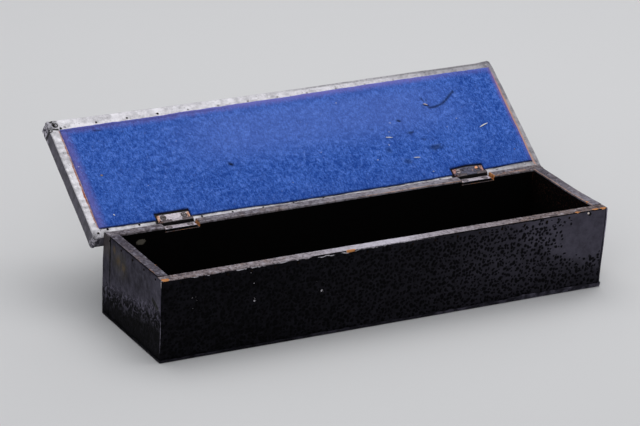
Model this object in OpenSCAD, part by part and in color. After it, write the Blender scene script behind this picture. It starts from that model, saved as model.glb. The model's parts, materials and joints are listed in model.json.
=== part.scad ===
// Long wooden box clad in thin dark sheet metal, with a felt-lined lid on two butt hinges.
// Millimetres. Origin at the middle of the base, X along the length, Y to the back, Z up.
// The lid is drawn shut and then swung open about the hinge pins.

/* [Case] */
// Length of the case over its end sheets
case_l = 356; // [300:1:420]
// Depth of the case, front to back, over its sheets
case_d = 94; // [84:1:120]
// Height of the case, from the base to the rim
case_h = 62; // [50:1:90]
// Thickness of the four wall boards
wall_t = 7.8; // [6.6:0.1:9]
// Thickness of the bottom board
bottom_t = 7; // [5:0.5:10]

/* [Cladding] */
// Thickness of the sheet metal
sheet_t = 0.4; // [0.3:0.05:0.6]
// Bare strip of wood between the sheets and the rim
rim_reveal = 0.8; // [0.4:0.1:1.4]
// Lap of the rear sheet round each end
rear_lap = 11; // [3:0.5:12]
// Lap of the right end sheet onto the front
front_lap = 1.8; // [1.2:0.1:3]
// Open seam left between two sheets
seam = 0.2; // [0.1:0.05:0.4]
// Height of the lip that the base sheet turns up all round
base_lip = 2.6; // [1.6:0.2:4]

/* [Lid] */
// Overhang of the lid past each end of the case
end_overhang = 5.2; // [3:0.1:8]
// Overhang of the lid past the front of the case
front_overhang = 5.5; // [2:0.1:9]
// Distance that the lid sits off centre, towards the left end
lid_shift = 1.5; // [0:0.1:2.5]
// Thickness of the lid over its cover
lid_t = 12.2; // [9:0.1:15]
// Width of the cover's strip turned in under the lid
turned_in = 12; // [11:0.1:15]
// Radius of the lid's upright corners
corner_r = 2.6; // [1.6:0.1:4]
// Radius of the folds along the lid's edges
fold_r = 1.4; // [0.8:0.1:2]
// Angle that the lid stands open
lid_open = 146; // [100:1:146]

/* [Felt] */
// Thickness of the felt below the turned-in strip
felt_t = 1.1; // [0.6:0.1:1.1]
// Bare metal left at the left end of the felt
felt_left = 6.6; // [5:0.1:8]
// Bare metal left at the right end of the felt
felt_right = 4.2; // [3.6:0.1:8]
// Bare metal left along the free edge
felt_front = 7.2; // [6:0.1:9]
// Bare metal left along the hinges, at the ends of the felt
felt_rear = 7.4; // [7:0.1:9]
// How far the felt's edge bellies towards the hinges in the middle
felt_belly = 2.4; // [0:0.1:3]
// Gap between the felt and a hinge leaf
felt_gap = 1; // [0.5:0.1:2]

/* [Hinges] */
// Length of a hinge
hinge_l = 25; // [20:0.5:32]
// Distance from the end of the case to the middle of a hinge
hinge_inset = 57; // [40:1:80]
// Distance from the pin's axis to the edge of a leaf
leaf_reach = 8.2; // [7.6:0.1:10]
// Thickness of a leaf
leaf_t = 1.15; // [0.9:0.05:1.4]
// Diameter of the pin
pin_d = 1.8; // [1.4:0.1:2.2]
// Radius of the rolled knuckles
knuckle_r = 2.1; // [1.8:0.1:2.3]
// Play between the knuckles and whatever they turn beside
knuckle_play = 0.3; // [0.2:0.05:0.4]
// Distance of the pin's axis behind the case
pin_behind = 1; // [0.6:0.1:1.6]
// Distance of the pin's axis below the rim
pin_below = 0.9; // [0.4:0.1:0.9]
// Extra length of each notch, to the right of its leaf
notch_spare = 1.5; // [1:0.5:5]

/* [Fasteners] */
// Distance between the two screws of a leaf
screw_pitch = 16.4; // [12:0.2:18]
// Distance from the pin's axis to the screws
screw_reach = 5.4; // [4.8:0.1:6]
// Diameter of a screw's head
screw_head_d = 3.6; // [3:0.1:4]
// Diameter of a screw's shank
screw_d = 1.9; // [1.4:0.1:2.2]
// Length of a screw
screw_l = 7; // [5:0.5:8]
// Width of a screw's slot
slot_w = 0.5; // [0.3:0.05:0.7]
// Diameter of a tack's head
tack_head_d = 1.8; // [1.4:0.1:2.2]
// Height of a tack's head
tack_head_h = 0.35; // [0.2:0.05:0.5]
// Diameter of a tack's shank
tack_d = 0.9; // [0.6:0.1:1.2]
// Length of a tack
tack_l = 5.5; // [4:0.5:6.5]
// Largest distance between two tacks on the case
case_tack_pitch = 19; // [14:1:30]
// Largest distance between two tacks on the lid
lid_tack_pitch = 26; // [16:1:40]
// Distance of the case's tacks below the rim
tack_drop = 3; // [2.4:0.1:5]
// Diameter of a nail's head
nail_head_d = 3; // [2.4:0.1:3.6]
// Diameter of a nail's shank
nail_d = 1.6; // [1.2:0.1:2]
// Length of a nail
nail_l = 26; // [18:1:30]
// Height of a nail's head
nail_head_h = 0.7; // [0.4:0.1:1]

/* [Hidden] */

// Clearance of a shank in its hole, and of the pin in its knuckles
hole_play = 0.05;
// How far a cutter runs past the face that it cuts
over = 1;
// Smallest wood left round a fastener
wood_margin = 4;

// Faces of the carcass
carcass_l = case_l - 2 * sheet_t;
carcass_d = case_d - 2 * sheet_t;
floor_z = sheet_t + bottom_t;
wall_h = case_h - floor_z;
sheet_top = case_h - rim_reveal;
end_board_l = carcass_d - 2 * wall_t;
wall_mid_x = carcass_l / 2 - wall_t / 2;
wall_mid_y = carcass_d / 2 - wall_t / 2;

// Hinge axis, and the planes that its leaves and the lid lie on
pin_y = case_d / 2 + pin_behind;
pin_z = case_h - pin_below;
hinge_x = case_l / 2 - hinge_inset;
leaf_out = knuckle_r + knuckle_play;
leaf_in = leaf_out - leaf_t;
lid_z = pin_z + leaf_out;
notch_z = pin_z - leaf_out;
bore_r = pin_d / 2 + hole_play;

// Knuckles along a hinge, the play between them, and the peened ends of the pin
knuckles = 3;
knuckle_gap = 0.25;
knuckle_l = (hinge_l - (knuckles - 1) * knuckle_gap) / knuckles;
pin_head_r = 0.7 * pin_d;
pin_head_h = pin_d / 4;
notch_play = pin_head_h + knuckle_play;

// Lid outline: its rear edge just clears the back of the case when the lid stands open
stop_gap = 0.4;
stop_angle = 146;
rear_edge = (pin_behind + leaf_out * sin(stop_angle) - stop_gap) / -cos(stop_angle);
lid_l = case_l + 2 * end_overhang;
lid_d = case_d + pin_behind + front_overhang + rear_edge;
lid_mid_x = -lid_shift;
lid_mid_y = pin_y + rear_edge - lid_d / 2;

// Edges of the felt, with the lid shut
felt_x0 = lid_mid_x - lid_l / 2 + felt_left;
felt_x1 = lid_mid_x + lid_l / 2 - felt_right;
felt_y0 = lid_mid_y - lid_d / 2 + felt_front;
felt_y1 = lid_mid_y + lid_d / 2 - felt_rear;

// Tacks go through the turned-in strip, their heads just outside the felt
tack_from_felt = 0.65 * tack_head_d;
corner_tack_in = turned_in / 3;

// Depth of a screw's countersink, and lengths of the pointed tips
screw_sink = leaf_t;
tack_tip = tack_d;
nail_tip = nail_d;

// Facets of a round, and of a small shank
$fn = 32;
shank_fn = 16;

// Helpers

// Places of a row of n points centred on zero
function row(span, pitch) = let(n = max(1, ceil(span / pitch)))
    [for (i = [0:n]) -span / 2 + i * span / n];

// Place of the felt's hinge edge at x, which bellies out in the middle
function felt_edge(x) = felt_y1 + felt_belly * sin(180 * (x - felt_x0) / (felt_x1 - felt_x0));

// True where a place along the rear wall is clear of both hinge notches
function clear_of_hinges(x) = abs(abs(x) - hinge_x) > hinge_l / 2 + notch_spare + wood_margin / 2;

module block(size, at = [0, 0, 0]) {
    translate(at) translate([-size[0] / 2, -size[1] / 2, 0]) cube(size);
}

module round_plate(l, w, r) {
    square([l - 2 * r, w], center = true);
    square([l, w - 2 * r], center = true);
    for (sx = [-1, 1], sy = [-1, 1])
        translate([sx * (l / 2 - r), sy * (w / 2 - r)]) circle(r);
}

// A slab with rounded upright corners and softly folded edges, on z = 0
module folded_slab(l, w, t, r_corner, r_fold) {
    intersection() {
        linear_extrude(t) round_plate(l, w, r_corner);
        translate([-l / 2, 0, t / 2]) rotate([90, 0, 90]) linear_extrude(l) round_plate(w, t, r_fold);
        translate([0, w / 2, t / 2]) rotate([90, 0, 0]) linear_extrude(w) round_plate(l, t, r_fold);
    }
}

// A round fastener that points down from z = 0, with its head above or sunk at z = 0
module shank(r, l, tip) {
    translate([0, 0, tip - l]) cylinder(h = l - tip, r = r, $fn = shank_fn);
    translate([0, 0, -l]) cylinder(h = tip, r1 = r / 4, r2 = r, $fn = shank_fn);
}

module tack() {
    cylinder(h = tack_head_h, r1 = tack_head_d / 2, r2 = tack_head_d / 3, $fn = shank_fn);
    shank(tack_d / 2, tack_l, tack_tip);
}

module tack_hole() {
    translate([0, 0, -tack_l - hole_play])
        cylinder(h = tack_l + over, r = tack_d / 2 + hole_play, $fn = shank_fn);
}

module nail() {
    translate([0, 0, -nail_head_h]) cylinder(h = nail_head_h, r = nail_head_d / 2, $fn = shank_fn);
    shank(nail_d / 2, nail_l, nail_tip);
}

module nail_hole() {
    translate([0, 0, -nail_head_h])
        cylinder(h = nail_head_h + over, r = nail_head_d / 2 + hole_play, $fn = shank_fn);
    translate([0, 0, -nail_l - hole_play])
        cylinder(h = nail_l, r = nail_d / 2 + hole_play, $fn = shank_fn);
}

// Countersunk wood screw, its head flush at z = 0
module screw() {
    difference() {
        union() {
            translate([0, 0, -screw_sink]) cylinder(h = screw_sink, r1 = screw_d / 2, r2 = screw_head_d / 2);
            shank(screw_d / 2, screw_l, screw_d);
        }
        translate([-screw_head_d, -slot_w / 2, -screw_sink / 2]) cube([2 * screw_head_d, slot_w, screw_sink]);
    }
}

module screw_sink_hole() {
    translate([0, 0, -screw_sink])
        cylinder(h = screw_sink, r1 = screw_d / 2 + hole_play, r2 = screw_head_d / 2 + hole_play);
    translate([0, 0, -screw_sink - over]) cylinder(h = screw_sink + over, r = screw_d / 2 + hole_play);
}

module screw_pilot() {
    translate([0, 0, -screw_l - hole_play]) cylinder(h = screw_l, r = screw_d / 2 + hole_play);
}

// Swings what is drawn with the lid shut to where the lid stands
module opened() {
    translate([0, pin_y, pin_z]) rotate([-lid_open, 0, 0]) translate([0, -pin_y, -pin_z]) children();
}

// Places of the fasteners, each with its tip pointing along -Z of the child

module at_wall_nails(sides) {
    heights = [floor_z + 2 * wood_margin, floor_z + wall_h / 2, case_h - 3 * wood_margin];
    for (side = sides, sx = [-1, 1], z = heights)
        translate([sx * wall_mid_x, side * carcass_d / 2, z]) rotate([-90 * side, 0, 0]) children();
}

module at_bottom_nails() {
    for (sy = [-1, 1], x = row(case_l - 10 * wood_margin, case_l / 5))
        translate([x, sy * wall_mid_y, sheet_t]) rotate([180, 0, 0]) children();
    for (sx = [-1, 1], y = row(end_board_l - 2 * (nail_l - wall_t) - 2 * wood_margin, case_d))
        translate([sx * wall_mid_x, y, sheet_t]) rotate([180, 0, 0]) children();
}

module at_long_tacks(side) {
    for (x = row(case_l - 7 * wood_margin, case_tack_pitch))
        if (side < 0 || clear_of_hinges(x))
            translate([x, side * case_d / 2, case_h - tack_drop]) rotate([-90 * side, 0, 0]) children();
}

module at_end_tacks(side) {
    for (y = row(end_board_l - wood_margin, case_tack_pitch))
        translate([side * case_l / 2, y, case_h - tack_drop]) rotate([0, 90 * side, 0]) children();
}

module at_lid_tacks() {
    for (i = row(lid_l - 2 * turned_in, lid_tack_pitch)) let(x = lid_mid_x + i) {
        translate([x, felt_y0 - tack_from_felt, lid_z]) rotate([180, 0, 0]) children();
        if (clear_of_hinges(x))
            translate([x, felt_edge(x) + tack_from_felt, lid_z]) rotate([180, 0, 0]) children();
    }
    for (sx = [-1, 1], sy = [-1, 1])
        translate([lid_mid_x, lid_mid_y, lid_z])
            translate([sx * (lid_l / 2 - corner_tack_in), sy * (lid_d / 2 - corner_tack_in), 0])
                rotate([180, 0, 0]) children();
}

module at_screws(side) {
    for (sx = [-1, 1])
        translate([side * hinge_x + sx * screw_pitch / 2, pin_y - screw_reach, 0]) children();
}

module at_case_screws(side) {
    at_screws(side) translate([0, 0, pin_z - leaf_in]) children();
}

module at_lid_screws(side) {
    at_screws(side) translate([0, 0, pin_z + leaf_in]) rotate([180, 0, 0]) children();
}

// Carcass boards

module hinge_notches() {
    notch_l = hinge_l + notch_play + notch_spare;
    for (side = [-1, 1])
        translate([side * hinge_x - hinge_l / 2 - notch_play, case_d / 2 - wall_t - sheet_t - over, notch_z])
            cube([notch_l, wall_t + sheet_t + 2 * over, case_h]);
}

module long_board(side) {
    difference() {
        block([carcass_l, wall_t, wall_h], [0, side * wall_mid_y, floor_z]);
        at_wall_nails([side]) nail_hole();
        at_bottom_nails() nail_hole();
        at_long_tacks(side) tack_hole();
    }
}

module front_board() {
    color("#6b5a4a") long_board(-1);
}

module rear_board() {
    color("#6b5a4a") difference() {
        long_board(1);
        hinge_notches();
        for (side = [-1, 1]) at_case_screws(side) screw_pilot();
    }
}

module end_board(side) {
    difference() {
        block([wall_t, end_board_l, wall_h], [side * wall_mid_x, 0, floor_z]);
        at_wall_nails([-1, 1]) nail_hole();
        at_bottom_nails() nail_hole();
        at_end_tacks(side) tack_hole();
    }
}

module left_end_board() {
    color("#62564d") end_board(-1);
}

module right_end_board() {
    color("#62564d") end_board(1);
}

module bottom_board() {
    color("#4a4038") difference() {
        block([carcass_l, carcass_d, bottom_t], [0, 0, sheet_t]);
        at_bottom_nails() nail_hole();
    }
}

// Sheet-metal cladding of the case

// A wall of sheet metal, from the base sheet to just under the rim
module sheet_wall(x0, x1, y0, y1) {
    translate([x0, y0, sheet_t]) cube([x1 - x0, y1 - y0, sheet_top - sheet_t]);
}

module front_sheet() {
    color("#26262b") difference() {
        sheet_wall(-case_l / 2, case_l / 2 - front_lap - seam, -case_d / 2, -case_d / 2 + sheet_t);
        at_long_tacks(-1) tack_hole();
    }
}

module rear_sheet() {
    color("#2b2b31") difference() {
        sheet_wall(-case_l / 2, case_l / 2, case_d / 2 - rear_lap, case_d / 2);
        block([carcass_l, carcass_d, case_h + over]);
        hinge_notches();
        at_long_tacks(1) tack_hole();
        at_end_tacks(-1) tack_hole();
        at_end_tacks(1) tack_hole();
    }
}

module left_end_sheet() {
    color("#2e2e36") difference() {
        sheet_wall(-case_l / 2, -case_l / 2 + sheet_t, -case_d / 2 + sheet_t, case_d / 2 - rear_lap - seam);
        at_end_tacks(-1) tack_hole();
    }
}

module right_end_sheet() {
    color("#2e2e36") difference() {
        sheet_wall(case_l / 2 - front_lap, case_l / 2, -case_d / 2, case_d / 2 - rear_lap - seam);
        block([carcass_l, carcass_d, case_h + over]);
        at_end_tacks(1) tack_hole();
    }
}

// The base sheet's edges are turned up outside the wall sheets
module base_sheet() {
    color("#303036") difference() {
        block([case_l + 2 * sheet_t, case_d + 2 * sheet_t, sheet_t + base_lip]);
        block([case_l, case_d, base_lip + over], [0, 0, sheet_t]);
    }
}

// Nails and tacks

module wall_nails() {
    color("#77716b") at_wall_nails([-1, 1]) nail();
}

module bottom_nails() {
    color("#77716b") at_bottom_nails() nail();
}

module front_tacks() {
    color("#3a3532") at_long_tacks(-1) tack();
}

module rear_tacks() {
    color("#3a3532") at_long_tacks(1) tack();
}

module left_end_tacks() {
    color("#3a3532") at_end_tacks(-1) tack();
}

module right_end_tacks() {
    color("#3a3532") at_end_tacks(1) tack();
}

// Hinges

// The knuckles of one leaf: the outer two belong to the case, the middle one to the lid
module knuckle_spans(first) {
    for (i = [first:2:knuckles - 1])
        translate([-hinge_l / 2 + i * (knuckle_l + knuckle_gap), 0, 0]) children();
}

// One leaf on its own pin axis, lying towards -Y with its plate below the axis
module leaf(first) {
    difference() {
        union() {
            translate([-hinge_l / 2, -leaf_reach, -leaf_out])
                cube([hinge_l, leaf_reach - knuckle_r - knuckle_play, leaf_t]);
            knuckle_spans(first) rotate([90, 0, 90]) linear_extrude(knuckle_l) {
                circle(knuckle_r);
                translate([-knuckle_r - 2 * knuckle_play, -leaf_out])
                    square([knuckle_r + 2 * knuckle_play, leaf_t]);
            }
        }
        translate([-hinge_l / 2 - over, 0, 0]) rotate([0, 90, 0]) cylinder(h = hinge_l + 2 * over, r = bore_r);
        for (sx = [-1, 1])
            translate([sx * screw_pitch / 2, -screw_reach, -leaf_in]) screw_sink_hole();
    }
}

module case_leaf(side) {
    color("#7a5548") translate([side * hinge_x, pin_y, pin_z]) leaf(0);
}

module lid_leaf(side) {
    color("#8a6152") opened() translate([side * hinge_x, pin_y, pin_z]) mirror([0, 0, 1]) leaf(1);
}

module hinge_pin(side) {
    color("#5a4a44") translate([side * hinge_x, pin_y, pin_z]) rotate([0, 90, 0]) {
        cylinder(h = hinge_l, r = pin_d / 2, center = true);
        for (flip = [0, 1]) mirror([0, 0, flip]) translate([0, 0, hinge_l / 2])
            cylinder(h = pin_head_h, r1 = pin_head_r, r2 = pin_d / 2);
    }
}

module left_case_leaf() case_leaf(-1);
module right_case_leaf() case_leaf(1);
module left_lid_leaf() lid_leaf(-1);
module right_lid_leaf() lid_leaf(1);
module left_pin() hinge_pin(-1);
module right_pin() hinge_pin(1);

module case_screws(side) {
    color("#6d5a50") at_case_screws(side) screw();
}

module lid_screws(side) {
    color("#6d5a50") opened() at_lid_screws(side) screw();
}

module left_case_screws() case_screws(-1);
module right_case_screws() case_screws(1);
module left_lid_screws() lid_screws(-1);
module right_lid_screws() lid_screws(1);

// Lid

module lid_core() {
    skin = 2 * sheet_t;
    translate([lid_mid_x, lid_mid_y, lid_z + sheet_t])
        folded_slab(lid_l - skin, lid_d - skin, lid_t - skin, corner_r - sheet_t, fold_r - sheet_t);
}

module lid_holes() {
    at_lid_tacks() tack_hole();
    for (side = [-1, 1]) at_lid_screws(side) screw_pilot();
}

module lid_board() {
    color("#6b5a4a") opened() difference() {
        lid_core();
        lid_holes();
    }
}

// One sheet, folded down over the edges and turned in under the board
module lid_cover() {
    color("#b9bac4") opened() difference() {
        translate([lid_mid_x, lid_mid_y, lid_z]) folded_slab(lid_l, lid_d, lid_t, corner_r, fold_r);
        lid_core();
        block([lid_l - 2 * turned_in, lid_d - 2 * turned_in, sheet_t + over], [lid_mid_x, lid_mid_y, lid_z - over]);
        lid_holes();
    }
}

// Felt outline on the lid's underside, with a belly towards the hinges
module felt_outline() {
    steps = 12;
    polygon(concat([[felt_x0, felt_y0], [felt_x1, felt_y0]],
        [for (i = [0:steps]) let(x = felt_x1 + (felt_x0 - felt_x1) * i / steps) [x, felt_edge(x)]]));
}

// The felt lies on the turned-in strip and fills the window inside it
module lid_felt() {
    color("#2f55b0") opened() difference() {
        union() {
            translate([0, 0, lid_z - felt_t]) linear_extrude(felt_t) felt_outline();
            block([lid_l - 2 * turned_in, lid_d - 2 * turned_in, felt_t + sheet_t],
                [lid_mid_x, lid_mid_y, lid_z - felt_t]);
        }
        for (side = [-1, 1])
            translate([side * hinge_x - hinge_l / 2 - felt_gap, pin_y - leaf_reach - felt_gap, lid_z - felt_t - over])
                cube([hinge_l + 2 * felt_gap, leaf_reach + over, felt_t + sheet_t + 2 * over]);
    }
}

module lid_tacks() {
    color("#4a4038") opened() at_lid_tacks() tack();
}

front_board();
rear_board();
left_end_board();
right_end_board();
bottom_board();
front_sheet();
rear_sheet();
left_end_sheet();
right_end_sheet();
base_sheet();
wall_nails();
bottom_nails();
front_tacks();
rear_tacks();
left_end_tacks();
right_end_tacks();
left_case_leaf();
left_pin();
left_case_screws();
right_case_leaf();
right_pin();
right_case_screws();
lid_board();
lid_cover();
lid_felt();
lid_tacks();
left_lid_leaf();
left_lid_screws();
right_lid_leaf();
right_lid_screws();
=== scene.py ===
import bmesh
import bpy
import json
import math
import random
from mathutils import Matrix, Vector, noise


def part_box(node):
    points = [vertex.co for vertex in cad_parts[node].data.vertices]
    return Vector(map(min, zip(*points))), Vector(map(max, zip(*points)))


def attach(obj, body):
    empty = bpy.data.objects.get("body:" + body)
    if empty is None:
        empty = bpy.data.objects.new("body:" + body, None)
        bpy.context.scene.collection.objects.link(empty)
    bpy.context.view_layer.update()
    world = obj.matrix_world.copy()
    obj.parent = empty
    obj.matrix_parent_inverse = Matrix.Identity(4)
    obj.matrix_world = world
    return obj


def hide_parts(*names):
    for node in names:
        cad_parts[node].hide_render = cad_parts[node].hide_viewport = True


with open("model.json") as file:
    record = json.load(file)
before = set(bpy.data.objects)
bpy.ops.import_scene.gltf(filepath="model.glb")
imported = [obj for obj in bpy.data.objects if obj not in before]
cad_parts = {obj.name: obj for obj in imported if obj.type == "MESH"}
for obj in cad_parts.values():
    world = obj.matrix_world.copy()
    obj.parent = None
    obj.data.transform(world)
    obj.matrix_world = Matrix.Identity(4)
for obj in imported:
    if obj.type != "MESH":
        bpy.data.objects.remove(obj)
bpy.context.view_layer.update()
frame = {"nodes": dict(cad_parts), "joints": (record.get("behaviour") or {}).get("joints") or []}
mm = 0.001
scene = bpy.context.scene
print("frame loaded,", len(frame["nodes"]), "nodes")

# the lid is worked out shut, lying flat, and then swung open about its pins
lidJoint = frame["joints"][0]
pin = Vector(lidJoint["pos_m"])
openAngle = math.radians(max(lidJoint["range_deg"]))
swing = Matrix.Translation(pin) @ Matrix.Rotation(-openAngle, 4, "X") @ Matrix.Translation(-pin)


def shutBox(nodeName):  # corners of a lid node with the lid shut
    shut = swing.inverted()
    points = [shut @ v.co for v in frame["nodes"][nodeName].data.vertices]
    low = Vector([min(p[i] for p in points) for i in range(3)])
    high = Vector([max(p[i] for p in points) for i in range(3)])
    return low, high


# nodes

class Wire:  # an output of a node; Python's operators on it add Math nodes
    def __init__(self, book, socket):
        self.book = book
        self.socket = socket

    def math(self, operation, *others):
        return self.book.node("ShaderNodeMath", {"operation": operation}, [self, *others])

    def __add__(self, other):
        return self.math("ADD", other)

    def __mul__(self, other):
        return self.math("MULTIPLY", other)

    def __sub__(self, other):
        return self.math("SUBTRACT", other)

    def __truediv__(self, other):
        return self.math("DIVIDE", other)

    def __rsub__(self, other):
        return self.book.node("ShaderNodeMath", {"operation": "SUBTRACT"}, [other, self])

    def __rtruediv__(self, other):
        return self.book.node("ShaderNodeMath", {"operation": "DIVIDE"}, [other, self])

    def __abs__(self):
        return self.math("ABSOLUTE")

    def __pow__(self, power):
        return self.math("POWER", power)

    __radd__ = __add__
    __rmul__ = __mul__

    def most(self, other):
        return self.math("MAXIMUM", other)

    def least(self, other):
        return self.math("MINIMUM", other)

    def rise(self, low, high):  # 0 at low, 1 at high, smooth between them
        settings = {"interpolation_type": "SMOOTHSTEP"}
        return self.book.node("ShaderNodeMapRange", settings,
                              {"Value": self, "From Min": low, "From Max": high})

    def also(self, name):  # another output of the same node
        return Wire(self.book, self.socket.node.outputs[name])


class NodeBook:  # adds nodes to one tree, of a material or of geometry
    def __init__(self, tree):
        self.tree = tree

    def node(self, kind, settings=None, feeds=None, out=0):
        made = self.tree.nodes.new(kind)
        for name, value in (settings or {}).items():
            setattr(made, name, value)
        live = [s for s in made.inputs if s.enabled]
        pairs = feeds.items() if isinstance(feeds, dict) else enumerate(feeds or [])
        for key, value in pairs:
            socket = live[key] if isinstance(key, int) else next(s for s in live if s.name == key)
            if isinstance(value, Wire):
                self.tree.links.new(value.socket, socket)
            elif socket.type == "RGBA":
                socket.default_value = (*value, 1)
            else:
                socket.default_value = value
        shown = [s for s in made.outputs if s.enabled]
        if not shown:
            return None
        return Wire(self, shown[out] if isinstance(out, int) else next(s for s in shown if s.name == out))

    def noise(self, place, size, detail=3, rough=0.5, bend=0, out=0):
        feeds = {"Vector": place, "Scale": 1 / size, "Detail": detail, "Roughness": rough,
                 "Distortion": bend}
        return self.node("ShaderNodeTexNoise", None, feeds, out)

    def cells(self, place, size, randomness=1, **settings):
        return self.node("ShaderNodeTexVoronoi", settings,
                         {"Vector": place, "Scale": 1 / size, "Randomness": randomness}, "Distance")

    def vector(self, operation, *values):
        return self.node("ShaderNodeVectorMath", {"operation": operation}, values)

    def axes(self, place):
        split = self.node("ShaderNodeSeparateXYZ", None, [place])
        return split, split.also("Y"), split.also("Z")

    def mix(self, share, first, second):
        return self.node("ShaderNodeMix", {"data_type": "RGBA"}, {"Factor": share, "A": first, "B": second})

    def value(self, share, first, second):
        return self.node("ShaderNodeMix", None, {"Factor": share, "A": first, "B": second})

    def coords(self):
        return self.node("ShaderNodeTexCoord", None, None, "Object")

    def mark(self, name):  # a number painted on the mesh
        return self.node("ShaderNodeAttribute", {"attribute_name": name}, None, "Fac")

    def markVector(self, name):
        return self.node("ShaderNodeAttribute", {"attribute_name": name}, None, "Vector")

    def bump(self, height, depth):  # depth in metres for a height from 0 to 1
        return self.node("ShaderNodeBump", None, {"Height": height, "Distance": depth})

    def surface(self, **feeds):
        names = {"color": "Base Color", "coat": "Coat Weight", "coatRough": "Coat Roughness",
                 "coatIor": "Coat IOR", "specular": "Specular IOR Level"}
        named = {names.get(key, key.capitalize()): value for key, value in feeds.items()}
        return self.node("ShaderNodeBsdfPrincipled", None, named)


def material(name, build):
    made = bpy.data.materials.new(name)
    made.use_nodes = True
    made.node_tree.nodes.clear()
    book = NodeBook(made.node_tree)
    book.node("ShaderNodeOutputMaterial", None, {"Surface": build(book)})
    return made


# punched pits: the same field shapes the sheet and paints shade in its pits

frontPits = {"pitch": 2.8 * mm, "radius": 1.28 * mm, "depth": 0.34 * mm, "dentSize": 26 * mm,
             "dentDepth": 0.22 * mm}
lidPits = {"pitch": 3.3 * mm, "radius": 0.85 * mm, "depth": 0.3 * mm, "dentSize": 30 * mm,
           "dentDepth": 0.25 * mm}


def pitField(book, flat, punched, pitch, radius):
    drift = book.vector("SUBTRACT", book.noise(flat, 0.006, detail=2, out="Color"), (0.5, 0.5, 0.5))
    wander = book.vector("ADD", flat, book.vector("SCALE", drift, 0.0042))
    near = book.node("ShaderNodeTexVoronoi", {"voronoi_dimensions": "2D"},
                     {"Vector": wander, "Scale": 1 / pitch, "Randomness": 0.85}, "Distance")
    first, second, third = book.axes(near.also("Color"))
    size = radius * (0.6 + 0.75 * first)
    pit = 1 - (near * pitch).rise(size * 0.35, size * 1.15)
    return pit * punched.math("GREATER_THAN", second) * (0.65 + 0.35 * third)


def crumpleTree():  # pushes a sheet's outer face in and out, and punches it
    tree = bpy.data.node_groups.new("crumpleAndPunch", "GeometryNodeTree")
    tree.is_modifier = True
    tree.interface.new_socket("Geometry", in_out="INPUT", socket_type="NodeSocketGeometry")
    for name in ("Pitch", "Pit radius", "Pit depth", "Dent size", "Dent depth"):
        tree.interface.new_socket(name, in_out="INPUT", socket_type="NodeSocketFloat")
    tree.interface.new_socket("Finish", in_out="INPUT", socket_type="NodeSocketMaterial")
    tree.interface.new_socket("Geometry", in_out="OUTPUT", socket_type="NodeSocketGeometry")
    book = NodeBook(tree)
    given = book.node("NodeGroupInput")

    def painted(name, kind="FLOAT"):
        return book.node("GeometryNodeInputNamedAttribute", {"data_type": kind}, {"Name": name})

    flat = painted("flat", "FLOAT_VECTOR")
    pitch = given.also("Pitch")
    pit = pitField(book, flat, painted("punched"), pitch, given.also("Pit radius"))
    wide = book.node("ShaderNodeTexNoise", None,
                     {"Vector": flat, "Scale": 1 / given.also("Dent size"), "Detail": 3.0,
                      "Roughness": 0.55})
    fold = (wide - 0.5) * 2 * given.also("Dent depth")
    push = painted("keep") * (fold - pit * given.also("Pit depth"))
    moved = book.node("GeometryNodeSetPosition", None,
                      {"Geometry": given,
                       "Offset": book.vector("SCALE", painted("out", "FLOAT_VECTOR"), push)})
    whole = book.node("GeometryNodeRealizeInstances", None, {"Geometry": moved})
    finished = book.node("GeometryNodeSetMaterial", None,
                         {"Geometry": whole, "Material": given.also("Finish")})
    book.node("NodeGroupOutput", None, {"Geometry": finished})
    return tree


def runNodes(holder, tree, values):  # runs a geometry tree and keeps its result as a plain mesh
    modifier = holder.modifiers.new(tree.name, "NODES")
    modifier.node_group = tree
    for item in tree.interface.items_tree:
        if item.in_out == "INPUT" and item.name in values:
            modifier[item.identifier] = values[item.name]
    depsgraph = bpy.context.evaluated_depsgraph_get()
    mesh = bpy.data.meshes.new_from_object(holder.evaluated_get(depsgraph),
                                           preserve_all_data_layers=True, depsgraph=depsgraph)
    holder.modifiers.remove(modifier)
    holder.data = mesh
    return holder


def punch(holder, sizes, finish):
    values = {"Pitch": sizes["pitch"], "Pit radius": sizes["radius"], "Pit depth": sizes["depth"],
              "Dent size": sizes["dentSize"], "Dent depth": sizes["dentDepth"], "Finish": finish}
    return runNodes(holder, crumple, values)


crumple = crumpleTree()


# meshes

def smooth(x, low, high):  # 0 at low, 1 at high
    t = min(1, max(0, (x - low) / (high - low)))
    return t * t * (3 - 2 * t)


def wave(x, size, seed=0):  # a wandering number from about -1 to 1
    return noise.noise(Vector((x / size, seed * 7.3 + 0.5, seed * 3.1)))


def addMarks(mesh, marks):  # numbers or vectors painted on the points
    for mark, values in marks.items():
        isVector = hasattr(values[0], "__len__")
        attribute = mesh.attributes.new(mark, "FLOAT_VECTOR" if isVector else "FLOAT", "POINT")
        data = [n for v in values for n in v] if isVector else values
        attribute.data.foreach_set("vector" if isVector else "value", data)


def makeMesh(name, points, faces, marks=None):
    mesh = bpy.data.meshes.new(name)
    mesh.from_pydata(points, [], faces)
    addMarks(mesh, marks or {})
    made = bpy.data.objects.new(name, mesh)
    scene.collection.objects.link(made)
    tidyMesh(mesh)
    mesh.shade_smooth()
    return made


def tidyMesh(mesh):  # merges doubles and turns every face outwards
    work = bmesh.new()
    work.from_mesh(mesh)
    bmesh.ops.remove_doubles(work, verts=work.verts, dist=1e-6)
    bmesh.ops.recalc_face_normals(work, faces=work.faces)
    work.to_mesh(mesh)
    work.free()


def gridFaces(rows, columns, first=0, loop=False):
    span = columns if loop else columns - 1
    faces = []
    for r in range(rows - 1):
        for c in range(span):
            a = first + r * columns + c
            b = first + r * columns + (c + 1) % columns
            faces.append((a, b, b + columns, a + columns))
    return faces


def closedRings(rings, count):  # a tube of rings with both ends shut
    faces = gridFaces(rings, count, loop=True)
    faces.append(list(range(count))[::-1])
    faces.append([(rings - 1) * count + i for i in range(count)])
    return faces


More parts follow.
